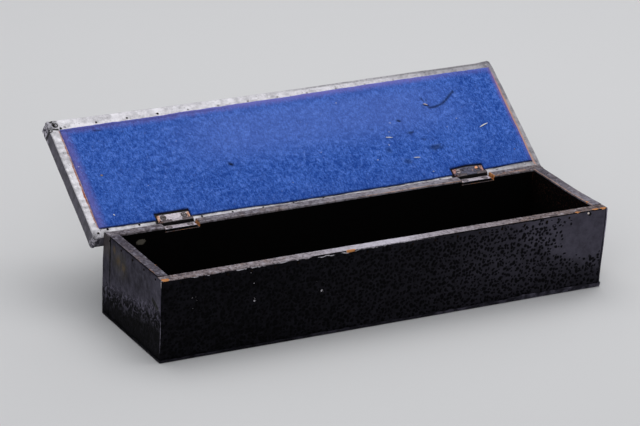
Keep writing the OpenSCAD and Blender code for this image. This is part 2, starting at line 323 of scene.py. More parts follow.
def dress(made, body, slotName, finish, *nodeNames):
    if finish:
        made.data.materials.clear()
        made.data.materials.append(finish)
    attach(made, body)
    if nodeNames:
        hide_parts(*nodeNames)
    return made


def paint(nodeName, finish):  # a CAD node that shows as it is
    frame["nodes"][nodeName].data.materials.clear()
    frame["nodes"][nodeName].data.materials.append(finish)


def steps(low, high, cell, stops=()):  # numbers from low to high about a cell apart, that meet every stop
    marks = sorted({low, high, *[s for s in stops if low < s < high]})
    made = [low]
    for a, b in zip(marks, marks[1:]):
        count = max(1, round((b - a) / cell))
        made += [a + (b - a) * i / count for i in range(1, count + 1)]
    return made


def planLine(corners, radius, cell, stops=()):  # points with their outward directions, corners rounded
    made = []
    for i, corner in enumerate(corners):
        corner = Vector(corner)
        if i in (0, len(corners) - 1):
            made.append(corner)
            continue
        back = (Vector(corners[i - 1]) - corner).normalized()
        ahead = (Vector(corners[i + 1]) - corner).normalized()
        centre = corner + (back + ahead) * radius
        for k in range(7):
            turn = math.pi / 2 * k / 6
            made.append(centre - ahead * radius * math.cos(turn) - back * radius * math.sin(turn))
    line = [made[0]]
    for a, b in zip(made, made[1:]):
        length = (b - a).length
        shares = steps(0, length, cell, [(Vector(s) - a).dot((b - a) / length) for s in stops])
        line += [a + (b - a) * s / length for s in shares[1:]]
    placed = []
    for i, point in enumerate(line):
        way = (line[min(i + 1, len(line) - 1)] - line[max(i - 1, 0)]).normalized()
        placed.append((point, Vector((way.y, -way.x))))
    return placed


# a sheet along a plan line
def sheetWall(name, line, low, top, thick, cell, punched, keep, shine=None, bulge=None):
    rows = max(2, round((max(top(p) for p, _ in line) - low) / cell)) + 1
    count = len(line)
    points, flats, outs, keeps, holes, brims = [], [], [], [], [], []
    run = 0
    runs = []
    for i, (point, _) in enumerate(line):
        run += (point - line[i - 1][0]).length if i else 0
        runs.append(run)
    for r in range(rows):
        for i, (point, out) in enumerate(line):
            z = low + (top(point) - low) * r / (rows - 1)
            points.append((point.x, point.y, z))
            flats.append((runs[i], z, 0))
            outs.append((out.x, out.y, 0))
            keeps.append(keep(point, z))
            holes.append(punched(point, z))
            brims.append(shine(point) * (1 - smooth(top(point) - z, 0.1 * mm, 1.1 * mm)) if shine else 0)
    for z in (low, None):
        for i, (point, out) in enumerate(line):
            inner = point - out * thick
            points.append((inner.x, inner.y, top(point) if z is None else z))
            flats.append((runs[i], low, 0))
            outs.append((out.x, out.y, 0))
            keeps.append(0)
            holes.append(0)
            brims.append(shine(point) if shine and z is None else 0)
    innerLow = rows * count
    innerTop = innerLow + count
    faces = gridFaces(rows, count)
    for i in range(count - 1):
        faces.append((i + 1, i, innerLow + i, innerLow + i + 1))
        upper = (rows - 1) * count + i
        faces.append((upper, upper + 1, innerTop + i + 1, innerTop + i))
        faces.append((innerLow + i + 1, innerLow + i, innerTop + i, innerTop + i + 1))
    for i in (0, count - 1):
        faces.append([r * count + i for r in range(rows)] + [innerTop + i, innerLow + i])
    marks = {"flat": flats, "out": outs, "keep": keeps, "punched": holes, "brim": brims}
    if bulge:
        points = [Vector(p) + bulge(Vector(p)) * (0.55 + 0.45 * math.sin(math.pi * min(1, p[2] / 0.06)))
                  for p in points]
    return makeMesh(name, points, faces, marks)


# finishes of the case

# the one bright tack at the right of the front: smallest x, how far it strays, and the painted shadow beside
# it
brightTack = {"from": 0.16, "strays": (-2.6 * mm, 0, 1.2 * mm), "shadowDisc": (0.1651, 0.0589)}


def lacquer(name, filmAndReflection, pits=None):  # thin sheet under black lacquer, made lighter where the film mask says: rubbed dull, and on the front partly a painted reflection
    def build(book):
        place = book.coords()
        x, y, z = book.axes(place)
        broad = book.noise(place, 0.03, detail=4, rough=0.6)
        mottle = book.noise(place, 0.0045, detail=4, rough=0.62)
        fine = book.noise(place, 0.0014, detail=4, rough=0.65)
        dull = filmAndReflection(book, x, y, z, broad) * (0.35 + 1.3 * mottle)
        color = book.mix(mottle.rise(0.35, 0.65), (0.0011, 0.001, 0.0015), (0.0042, 0.004, 0.0058))
        color = book.mix(dull.least(1), color, (0.066, 0.061, 0.086))
        color = book.mix((dull - 1).rise(0, 1), color, (0.3, 0.28, 0.36))
        color = book.mix(fine.rise(0.64, 0.8) * 0.3, color, (0.05, 0.048, 0.056))
        rough = 0.4 + 0.25 * fine
        gloss = dull.least(1) * 0.5 * broad
        if pits:
            pit = pitField(book, book.markVector("flat"), book.mark("punched"), pits["pitch"],
                           pits["radius"])
            # painted shade in the punched pits
            color = book.mix(pit.rise(0.04, 0.62) * 0.93, color, (0.0008, 0.0008, 0.0012))
            gloss = gloss * (1 - pit.rise(0, 0.5))
            toneShare = (book.mark("brim") + (fine - 0.5) * 1.3 + (mottle - 0.5)).rise(0.5, 0.85)
            color = book.mix(toneShare * book.mark("brim").rise(0, 0.08), color, (0.46, 0.44, 0.48))
            # a painted shadow beside the bright tack
            shadowX, shadowZ = brightTack["shadowDisc"]
            paintedShade = ((x - shadowX) ** 2 + (z - shadowZ) ** 2) ** 0.5 + (fine - 0.5) * 0.0006
            color = book.mix(1 - paintedShade.rise(0.0011, 0.0018), color, (0.0008, 0.0008, 0.001))
            # the rounded left edge of the front painted lighter: partly rubbed, partly a painted highlight
            # along the bend
            edge = (1 - (x + 0.1782).rise(0.0001, 0.0008)) * (1 - z.rise(0.028, 0.04))
            edge = edge * (0.4 + 0.6 * z.rise(0.002, 0.015))
            rubbedAndLitEdge = (edge + (fine - 0.5) * 0.9 + (mottle - 0.5) * 0.6).rise(0.55, 1.0)
            rubbedAndLitEdge = rubbedAndLitEdge * edge.rise(0, 0.1)
            color = book.mix(rubbedAndLitEdge, color, (0.16, 0.15, 0.19))
        height = fine * 0.5 + mottle
        return book.surface(color=color, roughness=rough, specular=0.03, coat=gloss, coatRough=0.28,
                            coatIor=1.35, normal=book.bump(height, 0.00022))
    return material(name, build)


def frontFilmAndReflection(book, x, y, z, broad):  # lighter towards the upper right: partly a rubbed, duller film, partly a painted reflection
    band = z + (x - 0.15) * 0.46 + (broad - 0.5) * 0.02
    # the band at the upper right corner is the painted edge of a reflected lamp
    corner = band.rise(0.022, 0.036) * x.rise(0.09, 0.13)
    return 0.02 + 0.09 * x.rise(-0.12, 0.06) + 0.34 * x.rise(0.02, 0.12) * z.rise(-0.01, 0.04) + 0.4 * corner


def lapFilm(book, x, y, z, broad):  # the right end's lap on the front is rubbed, with painted shade along its seam
    lap = (1 - (y + 0.0462).rise(0, 0.0006)) * (x - 0.1765 - 0.0025 * z.rise(0.004, 0.058)).rise(0, 0.0005)
    rubbed = lap * (0.4 + 1.5 * z.rise(0.01, 0.05)) * broad.rise(0.3, 0.5)
    return 0.04 + 0.35 * broad.rise(0.5, 0.75) * (y + 0.0462).rise(0, 0.0006) + rubbed


def plainFilm(book, x, y, z, broad):
    return 0.04 + 0.35 * broad.rise(0.5, 0.75)


def leftFinish(book):  # the left end: a painted reflection above a crumpled line and dark below it, painted shade in its creases, a painted shadow along the lap's seam, stained and scratched
    place = book.coords()
    x, y, z = book.axes(place)
    mottle = book.noise(place, 0.0042, detail=4, rough=0.62)
    fine = book.noise(place, 0.0013, detail=4, rough=0.7)
    ripple = book.noise(book.vector("MULTIPLY", place, (1, 1, 0.28)), 0.0026, detail=3, rough=0.55)
    crumple = book.noise(place, 0.008, detail=4, rough=0.6, bend=1.2)
    wrinkle = book.noise(place, 0.0058, detail=2, rough=0.5, bend=1.8)
    # painted reflection: the part above the crumpled line is lighter
    over = z + y * 0.17 - 0.0262 + (crumple - 0.5) * 0.013
    upper = over.rise(-0.0035, 0.004)
    near = 1 - abs(over + 0.0005).rise(0.003, 0.011)
    # painted shade in the creases along the crumpled line
    creaseShade = 1 - abs(wrinkle - 0.5).rise(0.012, 0.05)
    filmAndReflection = upper * (0.38 + 0.5 * (ripple - 0.5) * z.rise(0.015, 0.03) + 0.75 * (crumple - 0.5))
    # painted glints and shade along the crumpled line
    filmAndReflection = filmAndReflection + near * (wrinkle - 0.45) * 2.6
    filmAndReflection = filmAndReflection + 0.16 * over.rise(-0.001, 0.004) * (1 - over.rise(0.006, 0.016))
    filmAndReflection = filmAndReflection + 0.2 * upper * (1 - (y + 0.047).rise(0.004, 0.02))
    filmAndReflection = filmAndReflection + (1 - upper) * (wrinkle - 0.5).most(0) * 0.3
    dull = (filmAndReflection * (0.35 + 1.3 * mottle)).most(0) * (1 - creaseShade * near * 0.9)
    color = book.mix(mottle.rise(0.35, 0.65), (0.0009, 0.0009, 0.0013), (0.0032, 0.003, 0.0045))
    color = book.mix(dull.least(1), color, (0.07, 0.063, 0.1))
    broadStain = (((y - 0.02) / 0.013) ** 2 + ((z - 0.049) / 0.011) ** 2) ** 0.5 + (crumple - 0.5) * 1.6
    color = book.mix((1 - broadStain.rise(0.5, 1.2)) * 0.3, color, (0.062, 0.055, 0.034))
    for middle, reach in (((0.0224, 0.0496), 0.0036), ((0.0141, 0.0474), 0.003),
                          ((0.0293, 0.0552), 0.0026)):
        off = ((y - middle[0]) ** 2 + (z - middle[1]) ** 2) ** 0.5 / reach
        off = off + (wrinkle - 0.5) * 1.5 + (fine - 0.5) * 0.8
        color = book.mix((1 - off.rise(0.1, 1.5)) * 0.6, color, (0.11, 0.072, 0.03))
    across = (y + 0.0371) * 0.4 - (z - 0.0406) * 0.916
    along = (y + 0.0371) * 0.916 + (z - 0.0406) * 0.4
    scratched = 1 - abs(across + (mottle - 0.5) * 0.0026).rise(0.0012, 0.0024)
    scratched = scratched * (1 - abs(along).rise(0.0046, 0.0068))
    # painted shadow along the seam of the rear sheet's lap
    seamShadow = 1 - abs(y - 0.0361 + (wrinkle - 0.5) * 0.0035).rise(0.0007, 0.0016)
    seamShadow = seamShadow * (z + (crumple - 0.5) * 0.03).rise(0.026, 0.036)
    color = book.mix(scratched.most(seamShadow), color, (0.0008, 0.0008, 0.0011))
    lapped = (y - 0.0365).rise(0, 0.0008) * z.rise(0.04, 0.054)
    color = book.mix(lapped * 0.55, color, (0.085, 0.072, 0.066))
    corner = (1 - (y + 0.047).rise(0.0005, 0.004)) * z.rise(0.05, 0.058)
    color = book.mix((corner * (0.4 + fine)).rise(0.55, 0.8), color, (0.4, 0.38, 0.4))
    height = fine * 0.4 + mottle + ripple * (0.3 + 0.7 * upper) + wrinkle * 3 * near
    return book.surface(color=color, roughness=0.45 + 0.2 * fine, specular=0.02, coat=dull.least(1) * 0.45,
                        coatRough=0.28, coatIor=1.35, normal=book.bump(height, 0.0003))


def boardWood(name, alongX, tones, spots=None):  # black-stained softwood, its rim painted grey and rubbed, with a painted sheen of the overhead light on the rim's top
    def build(book):
        place = book.coords()
        x, y, z = book.axes(place)
        stretch = (0.07, 1, 1) if alongX else (1, 0.07, 1)
        grain = book.vector("MULTIPLY", place, stretch)
        streak = book.noise(grain, 0.0011, detail=4, rough=0.6)
        patch = book.noise(place, 0.011, detail=4, rough=0.65)
        speck = book.noise(place, 0.0013, detail=3, rough=0.7)
        slant = (x * 0.8 + y * 0.6) if alongX else (y * 0.95 - x * 0.3)
        saw = (slant * 2500 + patch * 9).math("SINE") * 0.5 + 0.5
        # rubbed paleness and painted sheen of the overhead light on the rim
        polishAndSheen = (book.mark("polishAndSheen") + (patch - 0.5) * 0.35 + (streak - 0.5) * 0.3).most(0).least(1)
        rim = book.mix(polishAndSheen, tones["dark"], tones["light"])
        rim = book.mix(patch.rise(0.5, 0.7) * (1 - polishAndSheen) * 0.7, rim, tones["brown"])
        rim = book.mix(saw * speck.rise(0.3, 0.6) * 0.35, rim, book.mix(0.5, rim, tones["brown"]))
        rim = book.mix((streak * 0.6 + speck * 0.4).rise(0.46, 0.62) * 0.5 * (1 - polishAndSheen), rim,
                       book.mix(0.65, rim, (0.02, 0.015, 0.018)))
        rim = book.mix(speck.rise(0.56, 0.7) * 0.45, rim, tones["light"])
        rim = book.mix((1 - speck.rise(0.32, 0.44)) * 0.75 * (1 - 0.6 * polishAndSheen), rim, (0.045, 0.038, 0.04))
        blot = book.noise(place, 0.0034, detail=3, rough=0.6, bend=0.8)
        rim = book.mix((1 - blot.rise(0.4, 0.5)) * 0.78 * (1 - polishAndSheen * 0.7), rim, (0.04, 0.03, 0.036))
        rim = book.mix(blot.rise(0.56, 0.64) * 0.4 * (1 - polishAndSheen * 0.5), rim, tones["light"])
        wood = book.mix(streak.rise(0.3, 0.7), (0.3, 0.09, 0.02), (0.8, 0.37, 0.14))
        thin = book.mix(speck, (0.5, 0.26, 0.16), (0.7, 0.48, 0.38))
        arris = (book.mark("arris") + (speck - 0.5) * 0.9 + (patch - 0.5) * 0.9).rise(0.5, 0.85)
        rim = book.mix(arris * 0.85, rim, thin)
        bare = (book.mark("bare") + (streak - 0.5) * 0.9 + (speck - 0.5) * 0.9).rise(0.5, 0.72)
        rim = book.mix(bare, rim, wood)
        # painted shade under the outer arris and in the hinge notches
        rim = book.mix((book.mark("gapShade") + (speck - 0.5) * 0.8).rise(0.35, 0.6), rim,
                       (0.004, 0.0035, 0.004))
        black = book.mix(streak, (0.0005, 0.0004, 0.0004), (0.002, 0.0014, 0.0014))
        dust = book.noise(place, 0.02, detail=5, rough=0.7).rise(0.6, 0.8) * 0.15
        black = book.mix(dust, black, (0.02, 0.016, 0.013))
        if spots:
            black = spots(book, black, x, y, z, speck)
        inside = book.mark("inside").rise(0.35, 0.65)
        color = book.mix(inside, rim, black)
        height = streak * 0.6 + speck * 0.4 + saw * 0.25
        return book.surface(color=color, roughness=book.value(inside, 0.45 + 0.2 * speck, 0.9),
                            specular=0.06, normal=book.bump(height, 0.00022))
    return material(name, build)


# a pale scuff near the left end, brown runs near the right corner
def rearSpots(book, color, x, y, z, speck):
    off = (((x + 0.1532) / 0.0042) ** 2 + ((z - 0.0537) / 0.0024) ** 2) ** 0.5 + (speck - 0.5) * 0.9
    color = book.mix((1 - off.rise(0.7, 1.0)) * 0.9, color, (0.15, 0.135, 0.11))
    run = (1 - abs(x - 0.1688).rise(0.0002, 0.0008)) * z.rise(0.048, 0.056) * speck.rise(0.4, 0.6)
    return book.mix(run * 0.7, color, (0.06, 0.02, 0.012))


def endSpots(book, color, x, y, z, speck):  # reddish specks high on the right end's inner face
    high = z.rise(0.028, 0.056) * x.rise(0.1, 0.12)
    return book.mix(high * speck.rise(0.55, 0.68) * 0.8, color, (0.06, 0.022, 0.016))


def plainWood(name):
    def build(book):
        place = book.coords()
        grain = book.noise(book.vector("MULTIPLY", place, (0.05, 1, 1)), 0.0014, detail=4, rough=0.6)
        # near black, so that where the board shows, in the gaps round the hinge leaves, it stands in as
        # painted shade
        color = book.mix(grain, (0.004, 0.003, 0.002), (0.016, 0.011, 0.008))
        return book.surface(color=color, roughness=0.6 + 0.2 * grain, normal=book.bump(grain, 0.0001))
    return material(name, build)


def rustySteel(name, tones, hinge=False):  # worn steel that shows grey, copper and brown in patches; on the hinges also painted shade on the knuckle, the case leaf's edge and round the screws
    def build(book):
        place = book.coords()
        x, y, z = book.axes(place)
        patch = book.noise(place, 0.0065, detail=4, rough=0.6)
        fine = book.noise(book.vector("MULTIPLY", place, (0.35, 1, 1)), 0.0008, detail=4, rough=0.7)
        blotch = book.noise(place, 0.0026, detail=3, rough=0.6)
        rusty = patch + (blotch - 0.5) * 0.6
        if hinge:
            shut = book.markVector("shut")
            flatX, flatY, _ = book.axes(shut)
            side = abs(flatX) - hingePlace["x"]
            rusty = rusty + tones["endRust"] * abs(side).rise(0.0085, 0.0122)
        rusty = rusty.rise(tones["rustFrom"], tones["rustFrom"] + 0.12)
        color = book.mix(fine.rise(0.3, 0.7), tones["steel"], tones["steelWorn"])
        color = book.mix(rusty, color, book.mix(blotch.rise(0.4, 0.62), tones["rust"], tones["copper"]))
        color = book.mix((1 - blotch.rise(0.32, 0.42)) * 0.9, color, tones["dirtAndShade"])
        soiled = 0
        if hinge:
            # dirt on the screw heads, with painted shade in the ring round each head
            toScrew = ((abs(side) - 0.0082) ** 2 + (flatY - 0.0426) ** 2) ** 0.5
            grimeAndRingShade = (1 - toScrew.rise(0.0014, 0.0018)) * (fine * 0.5 + blotch * 0.5).rise(0.42, 0.56) * 0.8
            grimeAndRingShade = grimeAndRingShade.most((1 - abs(toScrew - 0.0019).rise(0.0003, 0.0008)) * (0.6 + 0.7 * fine))
            grimeAndRingShade = grimeAndRingShade.most((1 - toScrew.rise(0.0016, 0.0021)) * (fine + blotch).rise(0.8, 1.0)
                               * tones.get("fill", 0))
            soiled = grimeAndRingShade.least(1) * tones["grimeAndRingShade"]
            color = book.mix(soiled, color, tones["dirtAndShade"])
            if "scrape" in tones:
                off = ((flatX - 0.1128) ** 2 + (flatY - 0.0424) ** 2).math("SQRT")
                bare = (1 - off.rise(0.0013, 0.002)) * (fine + 0.1).rise(0.45, 0.6)
                color = book.mix(bare * 0.8, color, (0.5, 0.42, 0.44))
            if "hot" in tones:
                off = ((flatX - 0.1283) ** 2 + (flatY - 0.0417) ** 2) ** 0.5 + (fine - 0.5) * 0.0012
                color = book.mix(1 - off.rise(0.0009, 0.0016), color, tones["hot"])
            # dirt and painted shade in the screws' slots
            color = book.mix(book.mark("sunk").rise(0.2, 0.6), color, (0.012, 0.006, 0.005))
            # painted shade on the case leaf's front edge
            color = book.mix(1 - (y - hingePlace["y"] + 0.0082).rise(0.0001, 0.0003), color,
                             (0.004, 0.003, 0.003))
            # painted shade on the underside of the knuckle; the barrel share paints shade on the rest of the
            # knuckle
            y, z = y - hingePlace["y"], z - hingePlace["z"]
            barrel = 1 - (y * y + z * z).math("SQRT").rise(0.0022, 0.0027)
            paintedShade = (0.0005 - y * 0.45 - z * 0.9 + (blotch - 0.5) * 0.001).rise(-0.0006, 0.0005)
            color = book.mix(barrel * paintedShade, color, (0.004, 0.003, 0.003))
            color = book.mix(barrel * (1 - paintedShade) * tones["barrel"], color, tones["dirtAndShade"])
        height = fine * 0.4 + blotch * 0.6
        return book.surface(color=color, roughness=0.38 + 0.2 * fine + 0.3 * rusty,
                            specular=tones.get("gloss", 0.5),
                            metallic=(1 - rusty) * (1 - soiled) * tones.get("metal", 0.7),
                            normal=book.bump(height, 0.00025))
    return material(name, build)


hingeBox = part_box("left_case_leaf")
hingePlace = {"x": abs(hingeBox[0].x + hingeBox[1].x) / 2, "y": pin.y, "z": pin.z}
leftIron = {"steel": (0.36, 0.32, 0.36), "steelWorn": (0.66, 0.61, 0.66), "rust": (0.34, 0.13, 0.07),
            "barrel": 0.25, "copper": (0.86, 0.52, 0.36), "dirtAndShade": (0.022, 0.009, 0.007),
            "rustFrom": 0.66, "endRust": 0.32, "grimeAndRingShade": 1, "fill": 0.9}
caseIron = {"steel": (0.5, 0.43, 0.5), "steelWorn": (0.86, 0.8, 0.86), "rust": (0.4, 0.2, 0.14),
            "barrel": 0.9, "copper": (0.8, 0.5, 0.4), "dirtAndShade": (0.03, 0.014, 0.012), "rustFrom": 0.7,
            "endRust": 0.2, "grimeAndRingShade": 0.9}
rightIron = {"steel": (0.045, 0.046, 0.07), "steelWorn": (0.17, 0.165, 0.23), "rust": (0.13, 0.05, 0.05),
             "barrel": 0.1, "copper": (0.55, 0.3, 0.27), "dirtAndShade": (0.014, 0.008, 0.009),
             "rustFrom": 0.62, "endRust": 0.36, "hot": (0.95, 0.45, 0.24), "grimeAndRingShade": 0.5, "scrape": 1}
tackIron = {"steel": (0.002, 0.002, 0.0025), "steelWorn": (0.006, 0.0055, 0.007),
            "rust": (0.005, 0.003, 0.002), "copper": (0.008, 0.005, 0.003),
            "dirtAndShade": (0.001, 0.001, 0.001), "rustFrom": 0.3, "metal": 0, "gloss": 0.05}
brightIron = {"steel": (0.7, 0.6, 0.55), "steelWorn": (0.9, 0.8, 0.76), "rust": (0.7, 0.5, 0.4),
              "copper": (0.8, 0.6, 0.5), "dirtAndShade": (0.2, 0.15, 0.13), "rustFrom": 0.6, "metal": 0.2}
paleIron = {"steel": (0.3, 0.29, 0.3), "steelWorn": (0.55, 0.53, 0.56), "rust": (0.2, 0.12, 0.09),
            "copper": (0.35, 0.24, 0.18), "dirtAndShade": (0.08, 0.07, 0.07), "rustFrom": 0.66}
plainIron = {"steel": (0.35, 0.34, 0.33), "steelWorn": (0.5, 0.48, 0.47), "rust": (0.25, 0.1, 0.05),
             "copper": (0.4, 0.2, 0.1), "dirtAndShade": (0.08, 0.06, 0.05), "rustFrom": 0.6}
frontRim = {"dark": (0.17, 0.125, 0.12), "light": (0.64, 0.61, 0.7), "brown": (0.24, 0.14, 0.09)}
rearRim = {"dark": (0.14, 0.12, 0.13), "light": (0.5, 0.48, 0.56), "brown": (0.25, 0.17, 0.13)}
endRim = {"dark": (0.075, 0.068, 0.088), "light": (0.42, 0.4, 0.48), "brown": (0.19, 0.13, 0.11)}

frontLacquer = lacquer("frontLacquer", frontFilmAndReflection, frontPits)
leftLacquer = material("leftLacquer", leftFinish)
darkLacquer = lacquer("darkLacquer", plainFilm)
lapLacquer = lacquer("lapLacquer", lapFilm)
frontWood = boardWood("frontWood", True, frontRim)
rearWood = boardWood("rearWood", True, rearRim, rearSpots)
endWood = boardWood("endWood", False, endRim, endSpots)
nailSteel = rustySteel("nailSteel", plainIron)
tackSteel = rustySteel("tackSteel", tackIron)
paleTackSteel = rustySteel("paleTackSteel", paleIron)
brightTackSteel = rustySteel("brightTackSteel", brightIron)
leftHingeSteel = rustySteel("leftHingeSteel", leftIron, True)
rightHingeSteel = rustySteel("rightHingeSteel", rightIron, True)
caseHingeSteel = rustySteel("caseHingeSteel", caseIron, True)
print("case finishes made")

# sheets of the case

caseSheet = {"thick": 0.35 * mm, "cell": 1.0 * mm, "frontCell": 0.53 * mm, "fold": 0.8 * mm,
             "topWave": 0.28 * mm, "hingeNotch": 2.5 * mm}
frontDrop = 0.45 * mm  # the front wall stands this much lower than the others
# torn places of the front sheet's upper edge: middle, half width, depth, in mm
tornTop = [(-31.5, 4.6, 0.8), (-46, 2.5, 0.7), (-55, 3.5, 0.5), (-66, 2, 0.6), (-98, 6, 0.35),
           (-140, 5, 0.3), (58, 2, 0.45), (71, 1.6, 0.5), (118, 4, 0.3)]
# how bright the front sheet's worn upper edge is: x in mm, share
brightTop = [(-178, 0.5), (-168, 0.3), (-150, 1.1), (-120, 1.4), (-100, 1.4), (-80, 1.3), (-60, 1.3),
             (-36, 1.4), (-22, 0.8), (20, 0.7), (60, 0.4), (90, 0.15), (178, 0.1)]


def tableAt(table, x):
    for (a, low), (b, high) in zip(table, table[1:]):
        if x <= b:
            return low + (high - low) * max(0, x - a) / (b - a)
    return table[-1][1]


def tornEdge(x):
    cut = 0
    for middle, half, depth in tornTop:
        off = abs(x / mm - middle) / half
        cut = max(cut, depth * (1 - smooth(off, 0.6, 1.15)))
    return cut * mm


def leaned(p):  # the front right corner of the case leans out towards its top
    share = smooth(p.x, 0.07, 0.178) * smooth(p.z, 0.004, 0.058) * smooth(-p.y, 0.003, 0.06)
    return Vector((p.x + 2.9 * mm * share, p.y, p.z))


def lean(made):
    for v in made.data.vertices:
        v.co = leaned(v.co)
    return made


notchEnds = {"left": 0.75 * mm, "right": 1.5 * mm, "depth": 3.3 * mm}  # room at each end of a hinge leaf


def hingeNotches():  # from and to along the rear wall
    made = []
    for side in ("left", "right"):
        leafLow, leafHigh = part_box(side + "_case_leaf")
        made.append((leafLow.x - notchEnds["left"], leafHigh.x + notchEnds["right"]))
    return made


def makeFrontSheet():
    low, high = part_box("front_sheet")
    bend = caseSheet["fold"]
    line = planLine([(low.x, low.y + bend + 0.1 * mm), (low.x, low.y), (high.x, low.y)], bend,
                    caseSheet["frontCell"])

    def top(point):
        ragged = wave(point.x, 0.011, 1) + 0.6 * wave(point.x, 0.0028, 2)
        return high.z - frontDrop + caseSheet["topWave"] * ragged - tornEdge(point.x)

    def punched(point, z):
        plain = smooth(point.x + 0.004 * wave(z, 0.009, 9), 0.12, 0.158)
        plain *= smooth(z + 0.003 * wave(point.x, 0.01, 8), 0.018, 0.033)
        quiet = 1 - smooth(point.x, -0.172, -0.12)
        upper = smooth(z, 0.056, 0.0605)
        return max(0, 0.99 - 1.02 * plain - 0.3 * quiet * smooth(z, 0.02, 0.045) - 0.7 * upper)

    def keep(point, z):
        return smooth(point.x, low.x, low.x + 0.003) * smooth(z, low.z, low.z + 0.002)

    def shine(point):
        patchy = 0.5 + 0.9 * wave(point.x, 0.006, 4) + 0.5 * wave(point.x, 0.0022, 5)
        return tableAt(brightTop, point.x / mm) * min(1, max(0, patchy))

    made = sheetWall("frontSheet", line, low.z, top, caseSheet["thick"], caseSheet["frontCell"], punched,
                     keep, shine)
    punch(made, frontPits, frontLacquer)
    return dress(lean(made), "case", "punched_sheet", None, "front_sheet")


def dentedSheet(name, nodeName, corners, finish, seed, notches=(), bulge=None):
    low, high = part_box(nodeName)
    cell = caseSheet["cell"]
    stops = [(x, corners[1][1]) for notch in notches for x in notch]
    line = planLine(corners, caseSheet["fold"], cell, stops)

    def top(point):
        for left, right in notches:
            if left - 1e-6 < point.x < right + 1e-6 and abs(point.y - high.y) < 1e-4:
                return high.z - caseSheet["hingeNotch"]
        ragged = wave(point.x + point.y, 0.014, seed) + 0.4 * wave(point.y, 0.004, seed + 1)
        return high.z + caseSheet["topWave"] * ragged

    def keep(point, z):
        return smooth(z, low.z, low.z + 0.002)

    made = sheetWall(name, line, low.z, top, caseSheet["thick"], cell, lambda point, z: 0, keep, None,
                     bulge)
    sizes = dict(frontPits, dentSize=17 * mm, dentDepth=0.3 * mm)
    punch(made, sizes, finish)
    return dress(made, "case", "dark_sheet", None, nodeName)


def makeCaseSheets():
    makeFrontSheet()
    low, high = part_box("left_end_sheet")
    corners = [(low.x, high.y), (low.x, low.y + 0.5 * mm)]
    dentedSheet("leftEndSheet", "left_end_sheet", corners, leftLacquer, 3)
    low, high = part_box("right_end_sheet")
    corners = [(low.x, low.y), (high.x, low.y), (high.x, high.y)]
    lean(dentedSheet("rightEndSheet", "right_end_sheet", corners, lapLacquer, 5))
    low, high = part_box("rear_sheet")
    corners = [(high.x, low.y), (high.x, high.y), (low.x, high.y), (low.x, low.y)]

    def bulge(point):
        near = smooth(point.y, high.y - 4.5 * mm, high.y) * (1 - smooth(point.x, low.x, low.x + 20 * mm))
        return Vector((0, 2.0 * mm * near, 0))

    made = dentedSheet("rearSheet", "rear_sheet", corners, darkLacquer, 7, hingeNotches(), bulge)
    made.data.materials.append(leftLacquer)
    for face in made.data.polygons:
        if face.center.x < low.x + 0.6 * mm:
            face.material_index = 1


makeCaseSheets()


# a rounded rectangle, as one closed ring
def ringPoints(halfL, halfD, radius, inset, centre, z, sides, arcs):
    bend = max(radius - inset, 0)
    a = halfL - max(radius, inset)
    b = halfD - max(radius, inset)
    ring = []
    corners = [((a, -b), -90, (-a, a), "x"), ((a, b), 0, (-b, b), "y"), ((-a, b), 90, (a, -a), "x"),
               ((-a, -b), 180, (b, -b), "y")]
    for (cx, cy), turn, (start, end), axis in corners:
        count = sides[0] if axis == "x" else sides[1]
        face = math.radians(turn)
        out = Vector((math.cos(face), math.sin(face)))
        for i in range(count + 1):
            run = start + (end - start) * i / count
            base = Vector((run, cy)) if axis == "x" else Vector((cx, run))
            ring.append((base + out * bend, out))
        for k in range(1, arcs):
            angle = math.radians(turn + 90 * k / arcs)
            out = Vector((math.cos(angle), math.sin(angle)))
            ring.append((Vector((cx, cy)) + out * bend, out))
    return [(Vector((centre[0] + p.x, centre[1] + p.y, z)), Vector((o.x, o.y, 0))) for p, o in ring]


# how bright the base sheet's front lip is: x in mm, share
lipBright = [(-178, 0.1), (-176, 0.2), (-150, 0.18), (-125, 0.12), (-100, 0.1), (-75, 0.16), (-50, 0.32),
              (-30, 0.2), (0, 0.13), (25, 0.3), (50, 0.5), (100, 0.55), (150, 0.75), (178, 0.7)]


def makeBaseSheet():  # a shallow tray with a wavy lip
    low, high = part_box("base_sheet")
    lip = {"thick": 0.4 * mm, "radius": 1.0 * mm, "cell": 1.0 * mm, "wave": 0.8 * mm}
    halfL, halfD = (high.x - low.x) / 2, (high.y - low.y) / 2
    sides = (round(2 * halfL / lip["cell"]), round(2 * halfD / lip["cell"]))
    plan = [(1.0 * mm, low.z, 0), (0.3 * mm, low.z + 0.25 * mm, 0), (0, low.z + 0.8 * mm, 0.3),
            (0, low.z + 1.5 * mm, 0.7), (0, low.z + 2.2 * mm, 0.9), (0.05 * mm, high.z, 1),
            (lip["thick"], high.z, 1), (lip["thick"], low.z + lip["thick"], 0)]
    points, shares = [], []
    for inset, z, share in plan:
        for p, out in ringPoints(halfL, halfD, lip["radius"], inset, (0, 0), z, sides, 4):
            run = p.x + p.y * 1.7
            rise = 0.9 * wave(run, 0.021, 11) + 0.8 * wave(run, 0.005, 12) - 0.6
            rise += 1.3 * smooth(p.x, 0.05, 0.12)
            p.z += share * lip["wave"] * rise
            if inset < lip["thick"]:
                p += out * 0.45 * mm * share * (0.6 + wave(run, 0.007, 13) + 0.5 * wave(run, 0.003, 14))
            points.append(p)
            shares.append((1 - 0.3 * share) * tableAt(lipBright, p.x / mm) if p.y < 0.043 - high.y else 0)
    made = makeMesh("baseSheet", points, closedRings(len(plan), len(points) // len(plan)), {"brim": shares})
    return dress(made, "case", "dark_sheet", lipLacquer, "base_sheet")


def lipFilm(book, x, y, z, broad):
    rubbed = book.noise(book.coords(), 0.007, detail=4, rough=0.65)
    return 0.015 + book.mark("brim") * (0.35 + 1.6 * rubbed.rise(0.38, 0.62))


